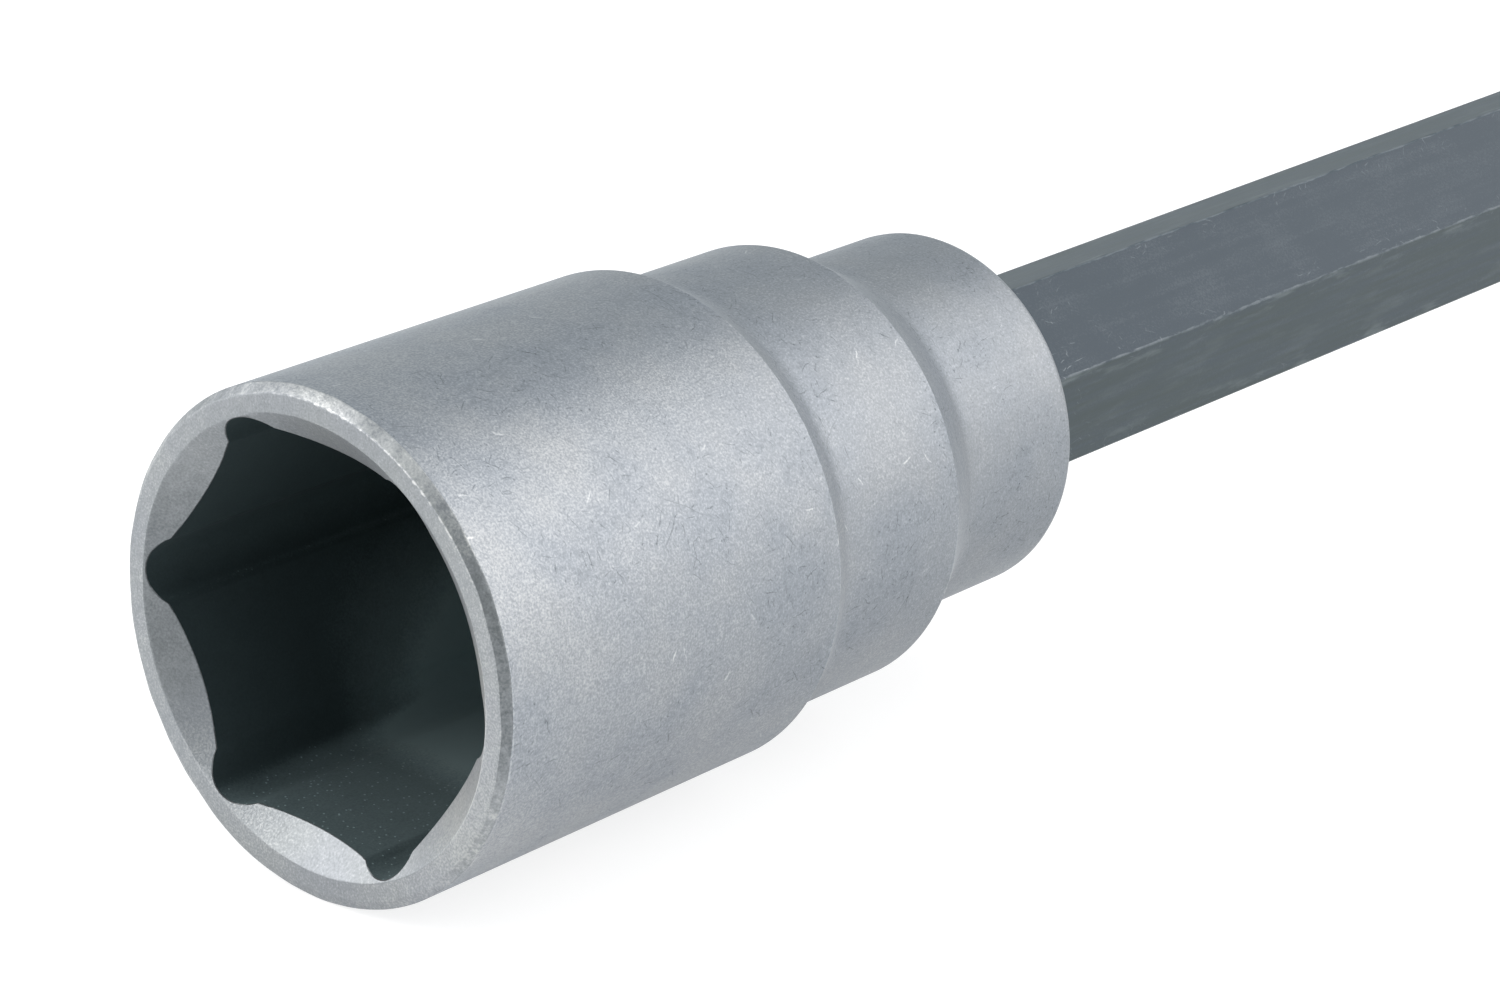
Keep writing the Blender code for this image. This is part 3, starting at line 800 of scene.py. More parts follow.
def spring_pin(name, node, body):
    """A rolled pin as large as its solid, standing upright, with its slot toward +X."""
    low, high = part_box(node)
    radius = (high.y - low.y) / 2
    inside = radius * (1 - 2 * PIN_WALL_SHARE)
    slot = math.asin(PIN_SLOT_SHARE)
    angles = [slot + (2 * math.pi - 2 * slot) * step / PIN_ARC_POINTS for step in range(PIN_ARC_POINTS + 1)]
    section = [(radius, angle) for angle in angles] + [(inside, angle) for angle in reversed(angles)]
    axis = pin_axis(node)
    foot = Vector((axis.x, axis.y, low.z))
    places = [foot + Vector((r * math.cos(angle), r * math.sin(angle), 0.0)) for r, angle in section]
    pin = start_shape(name, places, filled=True)
    bpy.ops.mesh.extrude_region_move(TRANSFORM_OT_translate={"value": (0.0, 0.0, high.z - low.z)})
    select_edges(pin, lambda a, b: abs(a.z - b.z) < SAME)
    bpy.ops.mesh.bevel(offset=radius * PIN_BEVEL_SHARE, segments=2, affect="EDGES")
    close_shape()
    shade(pin, SMALL_SHARP)
    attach(pin, body)
    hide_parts(node)
    return pin


pins = [
    spring_pin("head_spring_pin", "head_pin", "brace"),
    spring_pin("left_knob_spring_pin", "knob_pin_left", "bar"),
    spring_pin("right_knob_spring_pin", "knob_pin_right", "bar"),
]

# %% Detent sleeve
SLEEVE_BORE = 2.3 * MM
SLEEVE_LIP = 0.3 * MM
SLEEVE_LIP_DEPTH = 1.0 * MM
SLEEVE_CAP = 2.2 * MM
SLEEVE_EDGE = 0.35 * MM
SLOT_WIDTH = 1.0 * MM
SLOT_DEPTH = 1.0 * MM

low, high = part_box("detent_sleeve")
sleeve_radius = (high.y - low.y) / 2
sleeve_height = high.z - low.z
sleeve_outline = rounded([
    (sleeve_height, 0.0, 0.0),
    (sleeve_height, sleeve_radius, SLEEVE_EDGE),
    (0.0, sleeve_radius, SLEEVE_EDGE),
    (0.0, SLEEVE_BORE - SLEEVE_LIP, 0.0),
    (SLEEVE_LIP_DEPTH, SLEEVE_BORE, 0.0),
    (sleeve_height - SLEEVE_CAP, SLEEVE_BORE, 0.0),
    (sleeve_height - SLEEVE_CAP, 0.0, 0.0),
])
sleeve_foot = Vector((bar_x, 0.0, low.z))
sleeve = spin_shape("detent_sleeve_screw", sleeve_outline, sleeve_foot, ALONG_Z, SMALL_STEPS)
bpy.ops.mesh.primitive_cube_add(size=1.0, location=(bar_x, 0.0, high.z))
slot_cutter = bpy.context.object
slot_cutter.scale = (3 * sleeve_radius, SLOT_WIDTH, 2 * SLOT_DEPTH)
cut_with(sleeve, slot_cutter)
shade(sleeve, SMALL_SHARP)
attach(sleeve, "brace")
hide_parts("detent_sleeve")

# %% [markdown]
# ## The detent's ball and spring
# Inside the sleeve a coil spring presses a ball on the bar, so that the bar stays where it is put. The
# ball starts as a cube: subdivided and cast to a sphere, it gets even squares all over, without the
# crowded poles of a sphere made of rings. The spring's wire is a small circle that a Screw modifier
# sweeps along a helix. When the bar pushes the ball up, the coil gets shorter.

# %% Detent ball
BALL_CUTS = 15
ROUND_SHARP = 40.0

low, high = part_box("detent_ball")
ball_size = high.z - low.z
bpy.ops.mesh.primitive_cube_add(size=ball_size, location=(0.0, 0.0, 0.0))
ball = bpy.context.object
ball.name = "detent_steel_ball"
ball.data.name = "detent_steel_ball"
bpy.ops.object.mode_set(mode="EDIT")
bpy.ops.mesh.subdivide(number_cuts=BALL_CUTS)
bpy.ops.object.mode_set(mode="OBJECT")
bpy.ops.object.modifier_add(type="CAST")
cast = ball.modifiers[-1]
cast.factor = 1.0
cast.use_radius_as_size = False
cast.size = ball_size / 2
bpy.ops.object.modifier_apply(modifier=cast.name)
ball.location = (low + high) / 2
bpy.ops.object.transform_apply(location=True, rotation=False, scale=False)
shade(ball, ROUND_SHARP)
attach(ball, "ball")
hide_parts("detent_ball")

# %% Detent spring
WIRE = 0.5 * MM
COIL = 1.75 * MM
COIL_PITCH = 1.0 * MM
WIRE_POINTS = 12
TURN_STEPS = 32

low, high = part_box("detent_spring")
coil_rise = high.z - low.z - WIRE
turns = coil_rise / COIL_PITCH
section = []
for step in range(WIRE_POINTS):
    angle = 2 * math.pi * step / WIRE_POINTS
    section.append(Vector((COIL + WIRE / 2 * math.cos(angle), 0.0, WIRE / 2 * math.sin(angle))))
spring = start_shape("detent_coil_spring", section)
bpy.ops.object.mode_set(mode="OBJECT")
bpy.ops.object.modifier_add(type="SCREW")
sweep = spring.modifiers[-1]
sweep.angle = 2 * math.pi * turns
sweep.screw_offset = coil_rise
sweep.steps = sweep.render_steps = round(TURN_STEPS * turns)
bpy.ops.object.modifier_apply(modifier=sweep.name)
spring.location = (bar_x, 0.0, low.z + WIRE / 2)
bpy.ops.object.transform_apply(location=True, rotation=False, scale=False)
bpy.ops.object.mode_set(mode="EDIT")
bpy.ops.mesh.select_all(action="SELECT")
bpy.ops.mesh.fill_holes(sides=0)
close_shape()
shade(spring, ROUND_SHARP)
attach(spring, "brace")
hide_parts("detent_spring")
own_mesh(spring)
print("spring turns", round(turns, 2))

# %% [markdown]
# ## Where a finish is on a turned piece
# Wear follows the way a piece was turned: scratches lie on its skin, edges are rubbed bright. So the
# finishes read Object coordinates in millimetres, turned so that the piece's axis is X, and from those
# the distance from the axis and the way round it. Unrolled like a label, along and round give a flat
# sheet for the scratches.

# %% Places on a turned piece
ALONG_TOOL = {"Location": (-mouth_x / MM, 0.0, -axis_z / MM), "Rotation": (0.0, 0.0, 0.0)}
ALONG_BAR = {"Location": (0.0, bar_x / MM, -axis_z / MM), "Rotation": (0.0, 0.0, -math.pi / 2)}
UNROLL_RADIUS = 20.0


def turned_place(tree, lie):
    """Where a point is on a turned piece, in millimetres, and which way its surface looks."""
    corner = add_node(tree, "TexCoord")
    scale = (1 / MM, 1 / MM, 1 / MM)
    point = add_node(tree, "Mapping", {"Vector": corner.outputs["Object"], "Scale": scale, **lie})
    along, side, height = add_node(tree, "SeparateXYZ", [point]).outputs
    section = add_node(tree, "CombineXYZ", {"Y": side, "Z": height})
    radius = add_node(tree, "VectorMath", [section], operation="LENGTH").outputs["Value"]
    angle = add_node(tree, "Math", [side, height], operation="ARCTAN2")
    arc = add_node(tree, "Math", [angle, UNROLL_RADIUS], operation="MULTIPLY")
    down = add_node(tree, "Math", [along, radius], operation="SUBTRACT")
    skin = add_node(tree, "CombineXYZ", [down, arc])
    facing = corner.outputs["Normal"]
    return SimpleNamespace(
        point=point, along=along, height=height, radius=radius, arc=arc, skin=skin, facing=facing
    )


def add_layers(tree, tone, layers):
    """Adds layers to a tone, each as strong as its weight."""
    for layer, weight in layers:
        tone = add_node(tree, "Math", [layer, weight, tone], operation="MULTIPLY_ADD")
    return tone


# %% [markdown]
# ## Scratches
# A scratch is a short line at a random place and a random turn. Voronoi cells give both: each cell has a
# centre and a random colour. The place is measured from its cell's centre and turned by the cell's own
# angle, so one coordinate runs along the scratch and the other across it.

# %% Scratch layer
BEND = 0.4
SEED_SHIFT = Vector((37.0, 53.0, 0.0))


def scratches(tree, skin, seed, cell, length, width, share):
    """White scratches on black: one in a share of the cells, slightly bent, with sizes in millimetres."""
    moved = add_node(tree, "VectorMath", [skin, SEED_SHIFT * seed], operation="ADD")
    bends = add_node(tree, "TexNoise", {"Vector": moved, "Scale": 1 / length}, noise_dimensions="2D")
    bend = (BEND * length, BEND * length, 0.0)
    moved = add_node(tree, "VectorMath", [bends.outputs["Color"], bend, moved], operation="MULTIPLY_ADD")
    cells = add_node(tree, "TexVoronoi", {"Vector": moved, "Scale": 1 / cell}, voronoi_dimensions="2D")
    turn, chance, _ = add_node(tree, "SeparateXYZ", [cells.outputs["Color"]]).outputs
    local = add_node(tree, "VectorMath", [moved, cells.outputs["Position"]], operation="SUBTRACT")
    turn = add_node(tree, "Math", [turn, 2 * math.pi], operation="MULTIPLY")
    turned = add_node(tree, "VectorRotate", {"Vector": local, "Angle": turn}, rotation_type="Z_AXIS")
    from_middle = add_node(tree, "VectorMath", [turned], operation="ABSOLUTE")
    along, across, _ = add_node(tree, "SeparateXYZ", [from_middle]).outputs
    along = add_node(tree, "MapRange", [along, length / 2, length / 5])
    across = add_node(tree, "MapRange", [across, width, width / 4])
    line = add_node(tree, "Math", [along, across], operation="MULTIPLY")
    there = add_node(tree, "Math", [chance, share], operation="LESS_THAN")
    return add_node(tree, "Math", [line, there], operation="MULTIPLY")


# %% [markdown]
# ## Satin plated steel
# The socket, the head and the knobs are blasted and plated alloy steel: a matt light grey with a fine
# sparkle from the blasting. Use leaves hairline scratches, small dark pits and smudges that gather in
# places, and rubs the edges bright. One tone runs from dark (0) over clean (0.5) to rubbed (1), and
# colour and roughness are both read from it. Ranges are written as a Map Range node takes them: from,
# from, to, to.

# %% Clean satin
# Blasting leaves pits of a few hundredths of a millimetre, drawn coarser here so that they show.
GRAIN = 0.2
# Size in millimetres, detail and weight of each noise.
SATIN_LAYERS = ((GRAIN, 2.0, 0.42), (1.2, 3.0, 0.08), (8.0, 3.0, 0.11))
SATIN_STOPS = ((0.0, "#53595C"), (0.5, "#8F9398"), (1.0, "#D9DADB"))
SATIN_DRIFT = ((0.35, "#FCFDFF"), (0.65, "#FFFEFD"))
SATIN_ROUGHNESS = (0.2, 0.9, 0.55, 0.41)
SATIN_BUMP = {"Strength": 0.8, "Distance": 0.03 * MM}
# A Mix node has sockets for numbers, vectors and colours. These are its colour sockets.
MIX_FIRST, MIX_SECOND, MIX_COLOUR = 6, 7, 2


def satin_tone(tree, place):
    """The clean finish as a tone round 0.5, and the noise layers it is made of."""
    layers = []
    for size, detail, weight in SATIN_LAYERS:
        noise = add_node(tree, "TexNoise", {"Vector": place.point, "Scale": 1 / size, "Detail": detail})
        layers.append((noise, weight))
    tone = add_layers(tree, 0.5 - sum(weight for _, weight in layers) / 2, layers)
    return tone, [noise for noise, _ in layers]


def dress_satin(tree, shader, tone, layers, tint):
    """Colour, roughness and bump of the satin finish, all read from its tone and its noise layers."""
    grain, _, cloud = layers
    clean = add_node(tree, "ValToRGB", [tone], SATIN_STOPS)
    drift = add_node(tree, "ValToRGB", [cloud], tint)
    mixed = {0: 1.0, MIX_FIRST: clean, MIX_SECOND: drift}
    colour = add_node(tree, "Mix", mixed, data_type="RGBA", blend_type="MULTIPLY")
    set_inputs(tree, shader, {
        "Metallic": 1.0,
        "Base Color": colour.outputs[MIX_COLOUR],
        "Roughness": add_node(tree, "MapRange", [tone, *SATIN_ROUGHNESS]),
        "Normal": add_node(tree, "Bump", {"Height": grain, **SATIN_BUMP}),
    })


# %% Wear on satin steel
FAR_OFF = 100.0
RAGGED = 0.7
RAGGED_REACH = 0.6
RUBBED = (0.42, 0.24, 0.0)
GATHERED = (0.5, 0.4, 0.0, -0.08)
SMUDGED = (0.48, 0.66, 0.0)


def rubbed_edges(tree, place, edges, strength):
    """A ragged bright line along some edges, each given as (along, radius) in millimetres."""
    section = add_node(tree, "CombineXYZ", [place.along, place.radius])
    nearest = FAR_OFF
    for edge in edges:
        gap = add_node(tree, "VectorMath", [section, (*edge, 0.0)], operation="DISTANCE")
        nearest = add_node(tree, "Math", [gap.outputs["Value"], nearest], operation="MINIMUM")
    ragged = add_node(tree, "TexNoise", {"Vector": place.point, "Scale": 1 / RAGGED, "Detail": 4.0})
    near = add_layers(tree, nearest, [(ragged, RAGGED_REACH)])
    return add_node(tree, "MapRange", [near, *RUBBED, strength], **SOFTLY)


def smudges(tree, place, cloud):
    """Small dark smudges that gather in a few places, where the coarse noise is low."""
    gathered = add_node(tree, "MapRange", [cloud, *GATHERED], **SOFTLY)
    ragged = add_node(
        tree, "TexNoise", {"Vector": place.point, "Scale": 1 / RAGGED, "Detail": 4.0, "Roughness": 0.7}
    )
    return add_node(tree, "MapRange", [ragged, *SMUDGED, gathered], **SOFTLY)


# %% Satin steel for a turned piece
# Each kind of mark: seed, cell, length, width, share of the cells that have one, and weight.
SATIN_MARKS = (
    (1, 2.8, 1.8, 0.06, 0.55, -0.24),
    (2, 1.6, 1.1, 0.06, 0.5, -0.2),
    (3, 1.0, 0.5, 0.06, 0.4, -0.2),
    (4, 3.4, 1.3, 0.1, 0.15, 0.2),
    (5, 1.6, 0.25, 0.12, 0.3, -0.26),
    (6, 8.0, 6.0, 0.07, 0.4, -0.17),
)
WORN_CLEAN = (0.4, 0.6, 0.1)
WORN_DARK = (0.58, 0.42, 0.25)
# Painted light and shade along the piece: the tone rises near the mouth and falls toward the neck, over
# millimetres from the rim.
MOUTH_LIGHT_NECK_SHADE = (0.0, 70.0, 0.045, -0.045)


def satin_plated_steel(name, lie, edges, strength):
    """Satin steel with scratches, rubbed at its edges, and painted lighter near the mouth and darker toward
    the neck, as light and shade.
    """
    # Blasted, plated steel: broad soft highlights with a sparkle in them, so that the form reads at once.
    material, tree, shader = new_material(name)
    place = turned_place(tree, lie)
    tone, layers = satin_tone(tree, place)
    cloud = layers[2]
    # The first layer is painted light near the mouth and painted shade toward the neck.
    tone_changes = [(add_node(tree, "MapRange", [place.along, *MOUTH_LIGHT_NECK_SHADE]), 1.0)]
    worn_clean = add_node(tree, "MapRange", [cloud, *WORN_CLEAN], **SOFTLY)
    worn_dark = add_node(tree, "MapRange", [cloud, *WORN_DARK], **SOFTLY)
    for *mark, weight in SATIN_MARKS:
        lines = scratches(tree, place.skin, *mark)
        patches = worn_clean if weight > 0 else worn_dark
        tone_changes.append((add_node(tree, "Math", [lines, patches], operation="MULTIPLY"), weight))
    tone_changes.append((smudges(tree, place, cloud), 1.0))
    tone_changes.append((rubbed_edges(tree, place, edges, strength), 1.0))
    dress_satin(tree, shader, add_layers(tree, tone, tone_changes), layers, SATIN_DRIFT)
    return material


# %% Satin pieces
RUBBED_SOCKET = 0.1
RUBBED_HANDLE = 0.2
# The finishes read places in millimetres, so the edges are given in them too.
FILED_DEPTH = 0.72
HEAD_CORNER = 1.5

socket_edges = [(FILED_DEPTH, BARREL / MM), (COLLAR_AT / MM, BARREL / MM), (NECK_AT / MM, COLLAR / MM)]
head_at = (head_front.x - mouth_x) / MM
head_edges = [
    (head_at + HEAD_NECK_LENGTH / MM, HEAD / MM),
    (head_at + head_length / MM - HEAD_CORNER, HEAD / MM - HEAD_CORNER),
]
knob_edges = []
for end in (-1, 1):
    knob_edges.append((end * (knob_low.y + KNOB_EDGE) / MM, KNOB / MM))
    knob_edges.append((end * knob_low.y / MM, (KNOB - KNOB_EDGE) / MM))
for pieces, name, lie, edges, strength in (
    ([socket], "satin_plated_socket_steel", ALONG_TOOL, socket_edges, RUBBED_SOCKET),
    ([head], "satin_plated_head_steel", ALONG_TOOL, head_edges, RUBBED_HANDLE),
    ([left_knob, right_knob], "satin_plated_knob_steel", ALONG_BAR, knob_edges, RUBBED_HANDLE),
):
    finish = satin_plated_steel(name, lie, edges, strength)
    for piece in pieces:
        piece.data.materials.append(finish)
    print(name, "on", [piece.name for piece in pieces])

# %% [markdown]
# ## The mouth
# The broached hexagon and the bores keep their dark phosphate coat, because the blasting doesn't reach
# them. What faces up is lighter, with dust on it and painted light from the mouth, and the low, deep part
# carries a painted reflection. The cone, the rim's face and the chamfer are satin steel without scratches,
# but no two sides of them look the same: the cone and the rim's face are painted lighter and darker as
# light and shade, and the chamfer is lighter at the top and painted in shade on the near side. So a side is
# given by the angle of its middle and its reach, both in degrees round the axis. A face's normal tells
# which finish it gets.

# %% Bore finish
BORE_STOPS = ((0.0, "#232D30"), (0.3, "#364345"), (0.7, "#647274"), (1.0, "#8A9B9D"))
BORE_TONE = 0.2
BORE_CLOUD, BORE_CLOUD_WEIGHT = 2.5, 0.1
BORE_GRAIN_WEIGHT = 0.3
DUST_SPACING = 0.6
UPWARD_DUST_AND_LIGHT = (0.55, 0.95, 0.0, 0.3)
DEEPER_DUST_AND_LIGHT = (3.0, 14.0, 1.0, 1.5)
DUST_SPECKS = (0.17, 0.06, 0.0, 3.0)
LOW_PAINTED_REFLECTION = (-1.0, -13.0, 0.12, 1.35)
DEEP_PAINTED_REFLECTION = (14.0, 32.0, 0.0)


def phosphated_steel(name):
    """Almost black steel, lighter on what faces up with dust and painted light, and with a painted
    reflection low down and deep in the bore.
    """
    # Phosphate coat: matt and without a highlight, so that the bore reads as a deep dark hole.
    material, tree, shader = new_material(name)
    place = turned_place(tree, ALONG_TOOL)
    cloud = add_node(tree, "TexNoise", {"Vector": place.point, "Scale": 1 / BORE_CLOUD, "Detail": 4.0})
    grain = add_node(tree, "TexNoise", {"Vector": place.point, "Scale": 1 / GRAIN, "Detail": 2.0})
    # Dust and painted light: faces that look up are lighter, with dust specks on them and with light
    # painted in as it comes through the mouth, more so deeper in.
    upward = add_node(tree, "SeparateXYZ", [place.facing]).outputs["Z"]
    dust_and_light = add_node(tree, "MapRange", [upward, *UPWARD_DUST_AND_LIGHT], **SOFTLY)
    deeper = add_node(tree, "MapRange", [place.along, *DEEPER_DUST_AND_LIGHT])
    dust_and_light = add_node(tree, "Math", [dust_and_light, deeper], operation="MULTIPLY")
    dust = add_node(tree, "TexVoronoi", {"Vector": place.point, "Scale": 1 / DUST_SPACING})
    specks = add_node(tree, "MapRange", [dust.outputs["Distance"], *DUST_SPECKS])
    # Painted reflection: the low, deep part of the bore is painted lighter, where its walls mirror the lit
    # far side.
    low_reflection = add_node(tree, "MapRange", [place.height, *LOW_PAINTED_REFLECTION])
    lightening = add_node(tree, "MapRange", [place.along, *DEEP_PAINTED_REFLECTION, low_reflection])
    tone = add_layers(tree, BORE_TONE - (BORE_CLOUD_WEIGHT + BORE_GRAIN_WEIGHT) / 2, [
        (cloud, BORE_CLOUD_WEIGHT), (grain, BORE_GRAIN_WEIGHT),
        (dust_and_light, 1.0), (specks, dust_and_light), (lightening, 1.0),
    ])
    colour = add_node(tree, "ValToRGB", [tone], BORE_STOPS)
    set_inputs(tree, shader, {"Metallic": 0.2, "Roughness": 0.6, "Base Color": colour})
    return material


# %% Rim finish
RIM_DRIFT = ((0.35, "#FFFDFB"), (0.65, "#FFFDF8"))
RUBBED_LINE = (-25.0, 52.0)
RUBBED_LINE_STRENGTH = 0.32
SIDE_WANDER = 6.0
SIDE_CORE = 0.3
BLOTCH = 0.9

filed_edges = [(0.0, (BARREL - RIM_CHAMFER) / MM), (FILED_DEPTH, BARREL / MM)]


def rim_side(tree, place, uneven, middle, reach):
    """1 at one side of the rim, falling unevenly to 0."""
    middle = math.radians(middle) * UNROLL_RADIUS
    reach = math.radians(reach) * UNROLL_RADIUS
    away = add_node(tree, "Math", [place.arc, middle], operation="SUBTRACT")
    away = add_node(tree, "Math", [away], operation="ABSOLUTE")
    away = add_layers(tree, away, [(uneven, SIDE_WANDER)])
    ends = (reach + SIDE_WANDER / 2, SIDE_CORE * reach + SIDE_WANDER / 2)
    return add_node(tree, "MapRange", [away, *ends], **SOFTLY)


def rim_steel(name, shift, blotchy, sides):
    """Satin steel without scratches: blotchy, lighter or darker on some sides, mostly as painted light and
    shade, with a rubbed line where it is filed.
    """
    # Freshly cut steel that use has stained: the same soft light as the socket, but patchy. Its sides are
    # painted lighter or darker: painted light and shade, apart from the chamfer's lighter top.
    material, tree, shader = new_material(name)
    place = turned_place(tree, ALONG_TOOL)
    tone, layers = satin_tone(tree, place)
    mottle = layers[1]
    blotches = add_node(
        tree, "TexNoise", {"Vector": place.point, "Scale": 1 / BLOTCH, "Detail": 5.0, "Roughness": 0.7}
    )
    tone = add_node(tree, "Math", [tone, shift - blotchy / 2], operation="ADD")
    tone_changes = [(blotches, blotchy)]
    # Painted light and shade on some sides of the rim, set by the angle round the axis.
    for middle, reach, weight in sides:
        tone_changes.append((rim_side(tree, place, mottle, middle, reach), weight))
    line = rubbed_edges(tree, place, filed_edges, RUBBED_LINE_STRENGTH)
    tone_changes.append((line, rim_side(tree, place, mottle, *RUBBED_LINE)))
    dress_satin(tree, shader, add_layers(tree, tone, tone_changes), layers, RIM_DRIFT)
    return material


# %% Faces of the mouth
# How far a face's normal leans toward the axis, and how far out of the mouth.
LEANS_IN = -0.2
BORE_LEANS = -0.3
LEDGE_LEANS = -0.5
RIM_LEANS = -0.9
CHAMFER_LEANS = -0.2


def mouth_finish(face):
    """Which finish a face of the socket gets: 0 outside, 1 bore, 2 cone, 3 rim face, 4 chamfer."""
    from_axis = face.center - rim_centre
    outward = face.normal.dot(Vector((0.0, from_axis.y, from_axis.z)).normalized())
    on_ledge = NUT_DEPTH - MM < from_axis.x < STUD_DEPTH + MM and face.normal.x < LEDGE_LEANS
    if on_ledge or (outward < LEANS_IN and face.normal.x > BORE_LEANS):
        return 1
    if outward < LEANS_IN:
        return 2
    if face.normal.x < RIM_LEANS:
        return 3
    return 4 if face.normal.x < CHAMFER_LEANS and from_axis.x < RIM_ZONE / 2 else 0


# Sides of the cone, the rim's face and the chamfer: middle, reach and weight. On the cone and the rim's
# face they are painted light and shade. The chamfer is lighter at the top, and its near side, which looks
# back at the dim side of the room by the camera, is painted shade.
CONE_PAINTED_LIGHT_AND_SHADE = ((84.0, 42.0, -0.17), (140.0, 28.0, 0.08), (-102.0, 45.0, 0.2))
FACE_PAINTED_LIGHT_AND_SHADE = ((-10.0, 70.0, -0.05), (-120.0, 50.0, 0.05))
CHAMFER_LIGHTER_TOP_PAINTED_SHADE = ((-17.0, 40.0, 0.19), (-84.0, 33.0, -0.22))

for finish in (
    phosphated_steel("phosphated_bore_steel"),
    rim_steel("blasted_cone_steel", shift=-0.04, blotchy=0.15, sides=CONE_PAINTED_LIGHT_AND_SHADE),
    rim_steel("faced_rim_steel", shift=0.0, blotchy=0.25, sides=FACE_PAINTED_LIGHT_AND_SHADE),
    rim_steel("filed_chamfer_steel", shift=0.0, blotchy=0.7, sides=CHAMFER_LIGHTER_TOP_PAINTED_SHADE),
):
    socket.data.materials.append(finish)
counts = [0] * len(socket.data.materials)
for face in socket.data.polygons:
    face.material_index = mouth_finish(face)
    counts[face.material_index] += 1
print("outside, bore, cone, rim and chamfer faces", counts)

# %% [markdown]
# ## Burnished bar
# The shaft and the tommy bar are drawn steel with a dark oiled oxide skin. Drawing leaves streaks along
# the bar, hands leave dull faces and lighter smears, and the edges are rubbed lighter in specks. A noise
# that is squeezed along the bar's axis gives all of these their direction.

# %% Burnished tone
BURNISHED_STOPS = ((0.0, "#262E37"), (0.5, "#39444E"), (1.0, "#959B9F"))
# Size in millimetres, detail, how much of it is left along the bar, and weight of each noise.
BURNISHED_LAYERS = ((0.9, 3.0, 0.05, 0.08), (5.0, 4.0, 1.0, 0.08), (GRAIN, 2.0, 1.0, 0.12))
# Each kind of scuff: seed, cell, length, width and share of the cells that have one.
SCUFFS = ((7, 1.4, 1.0, 0.1, 0.4), (8, 2.6, 1.8, 0.08, 0.4))
# Other noises of the bar: size, detail, how much of it is left along the bar, and roughness.
EDGE_SPECKS = (0.4, 4.0, 0.25, 0.5)
EDGE_RAGGED = 0.2
EDGE_REACH = (0.11, 0.17)
EDGE_WORN = 0.16
GRIP_REACH = (2.0, 18.0)
GRIP_SCUFFED = 0.3
CORNERS_SCUFFED = (8.8, 9.6, 0.02, 0.14)
SCUFFS_CLUSTERED = (0.4, 0.6)


def drawn_noise(tree, place, size, detail, along_share, roughness=0.5):
    """A noise in a turned place that is drawn out along the piece's axis."""
    drawn = add_node(tree, "Mapping", {"Vector": place.point, "Scale": (along_share, 1.0, 1.0)})
    return add_node(
        tree, "TexNoise", {"Vector": drawn, "Scale": 1 / size, "Detail": detail, "Roughness": roughness}
    )


def burnished_tone(tree, place, edge_radius, grip):
    """Drawn streaks round 0.5, lighter on rubbed edges and in scuffs, most of these where it is gripped."""
    streaks, cloud, grain = [drawn_noise(tree, place, *layer[:3]) for layer in BURNISHED_LAYERS]
    weights = [layer[3] for layer in BURNISHED_LAYERS]
    tone = add_layers(tree, 0.5 - sum(weights) / 2, zip((streaks, cloud, grain), weights))
    ragged = drawn_noise(tree, place, *EDGE_SPECKS)
    high = add_layers(tree, place.radius, [(ragged, EDGE_RAGGED)])
    ends = [edge_radius + reach for reach in EDGE_REACH]
    worn = add_node(tree, "MapRange", [high, *ends, 0.0, EDGE_WORN], **SOFTLY)
    out = add_node(tree, "Math", [place.along], operation="ABSOLUTE")
    ends = [grip + reach for reach in GRIP_REACH]
    gripped = add_node(tree, "MapRange", [out, *ends, GRIP_SCUFFED, 0.0])
    lightening = add_node(tree, "MapRange", [place.radius, *CORNERS_SCUFFED])
    lightening = add_node(tree, "Math", [lightening, gripped], operation="ADD")
    clustered = add_node(tree, "MapRange", [cloud, *SCUFFS_CLUSTERED], **SOFTLY)
    lightening = add_node(tree, "Math", [lightening, clustered], operation="MULTIPLY")
    tone_changes = [(worn, 1.0)] + [(scratches(tree, place.skin, *scuff), lightening) for scuff in SCUFFS]
    return add_layers(tree, tone, tone_changes), grain


# %% Handled faces
CLEAN_FACE = SHAFT_TURN - math.pi / 6
HANDLED = "#354042"
HANDLED_STREAKS = (0.5, 3.0, 0.04, 0.5)
SMEAR = "#677072"
WIPED_SMEARS = (1.5, 6.0, 0.2, 0.6)
FACES_HANDLED = (0.95, 0.7)
DULL_STREAKS = (0.3, 0.7, 0.2, 1.0)
SMEARED_CORNERS = (9.0, 9.6, 0.12, 0.6)
SMEAR_PATCHES = (0.5, 0.68, 0.0)


def handled_colour(tree, place, colour):
    """All faces but one are dulled by hands, with lighter smears that were wiped along the bar."""
    clean_way = (0.0, math.sin(CLEAN_FACE), math.cos(CLEAN_FACE))
    facing = add_node(tree, "VectorMath", [place.facing, clean_way], operation="DOT_PRODUCT")
    handled = add_node(tree, "MapRange", [facing.outputs["Value"], *FACES_HANDLED])
    streaks = drawn_noise(tree, place, *HANDLED_STREAKS)
    streaks = add_node(tree, "MapRange", [streaks, *DULL_STREAKS])
    dulled = add_node(tree, "Math", [handled, streaks], operation="MULTIPLY")
    smears = drawn_noise(tree, place, *WIPED_SMEARS)
    near_corner = add_node(tree, "MapRange", [place.radius, *SMEARED_CORNERS])
    patches = add_node(tree, "MapRange", [smears, *SMEAR_PATCHES, near_corner], **SOFTLY)
    smeared = add_node(tree, "Math", [patches, handled], operation="MULTIPLY")
    for amount, hex_colour in ((dulled, HANDLED), (smeared, SMEAR)):
        mixed = {0: amount, MIX_FIRST: colour, MIX_SECOND: linear(hex_colour)}
        colour = add_node(tree, "Mix", mixed, data_type="RGBA").outputs[MIX_COLOUR]
    return colour


# %% Burnished finish
BURNISHED_ROUGHNESS = (0.2, 1.0, 0.64, 0.45)
BURNISHED_BUMP = {"Strength": 0.4, "Distance": 0.01 * MM}
SHAFT_CORNER = 9.7
NO_CORNER = 20.0


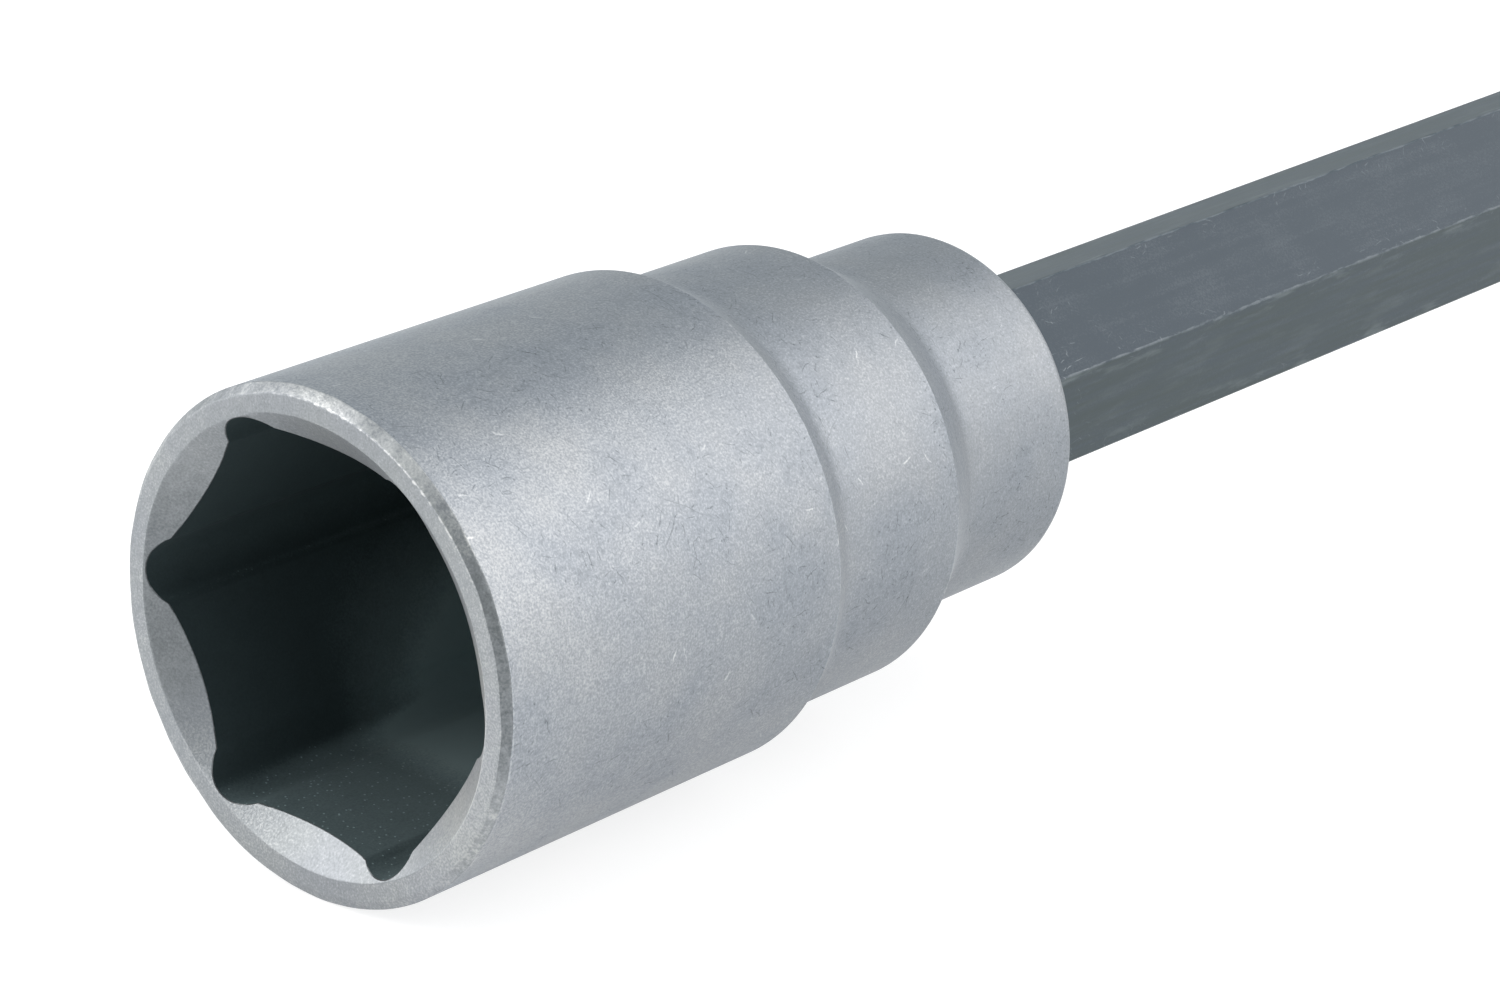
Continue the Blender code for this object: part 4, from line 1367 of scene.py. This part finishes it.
def burnished_steel(name, lie, edge_radius, grip):
    """Dark drawn steel with rubbed edges, scuffs and handled faces."""
    # Oiled oxide skin: dark with a dim, wide sheen, against which each scuff and smear shows lighter.
    material, tree, shader = new_material(name)
    place = turned_place(tree, lie)
    tone, grain = burnished_tone(tree, place, edge_radius, grip)
    colour = add_node(tree, "ValToRGB", [tone], BURNISHED_STOPS)
    set_inputs(tree, shader, {
        "Metallic": 0.2,
        "Base Color": handled_colour(tree, place, colour),
        "Roughness": add_node(tree, "MapRange", [tone, *BURNISHED_ROUGHNESS]),
        "Normal": add_node(tree, "Bump", {"Height": grain, **BURNISHED_BUMP}),
    })
    return material


shaft.data.materials.append(
    burnished_steel("burnished_shaft_steel", ALONG_TOOL, SHAFT_CORNER, socket_length / MM)
)
bar.data.materials.append(burnished_steel("burnished_bar_steel", ALONG_BAR, NO_CORNER, BARREL / MM))
print("burnished pieces", shaft.name, bar.name)

# %% [markdown]
# ## Pins, spring and ball
# The pins and the sleeve are spring steel, blued by tempering; the coil and the ball are bright hardened
# steel. Their colour drifts a little over a few tenths of a millimetre, as heat colours do, and one noise
# gives that.

# %% Small finishes
HEAT_DRIFT = 0.6 * MM


def plain_steel(name, dark, light, roughness):
    """A steel whose colour drifts between two tones over a few tenths of a millimetre."""
    material, tree, shader = new_material(name)
    corner = add_node(tree, "TexCoord")
    place = {"Vector": corner.outputs["Object"], "Scale": 1 / HEAT_DRIFT, "Detail": 4.0}
    drift = add_node(tree, "TexNoise", place)
    colour = add_node(tree, "ValToRGB", [drift], ((0.3, dark), (0.7, light)))
    set_inputs(tree, shader, {"Metallic": 1.0, "Roughness": roughness, "Base Color": colour})
    return material


# Blued spring steel: a dark grey with a tight highlight, so that the pins stand out from the satin.
blued = plain_steel("blued_spring_steel", "#4A4E54", "#6A6E74", roughness=0.38)
# Ground hardened steel: the brightest finish here, with a small sharp highlight.
bright = plain_steel("bright_hardened_steel", "#A9ABAE", "#C4C6C8", roughness=0.22)
for piece in pins + [sleeve]:
    piece.data.materials.append(blued)
for piece in (spring, ball):
    piece.data.materials.append(bright)
print("blued", [piece.name for piece in pins], "bright", spring.name, ball.name)
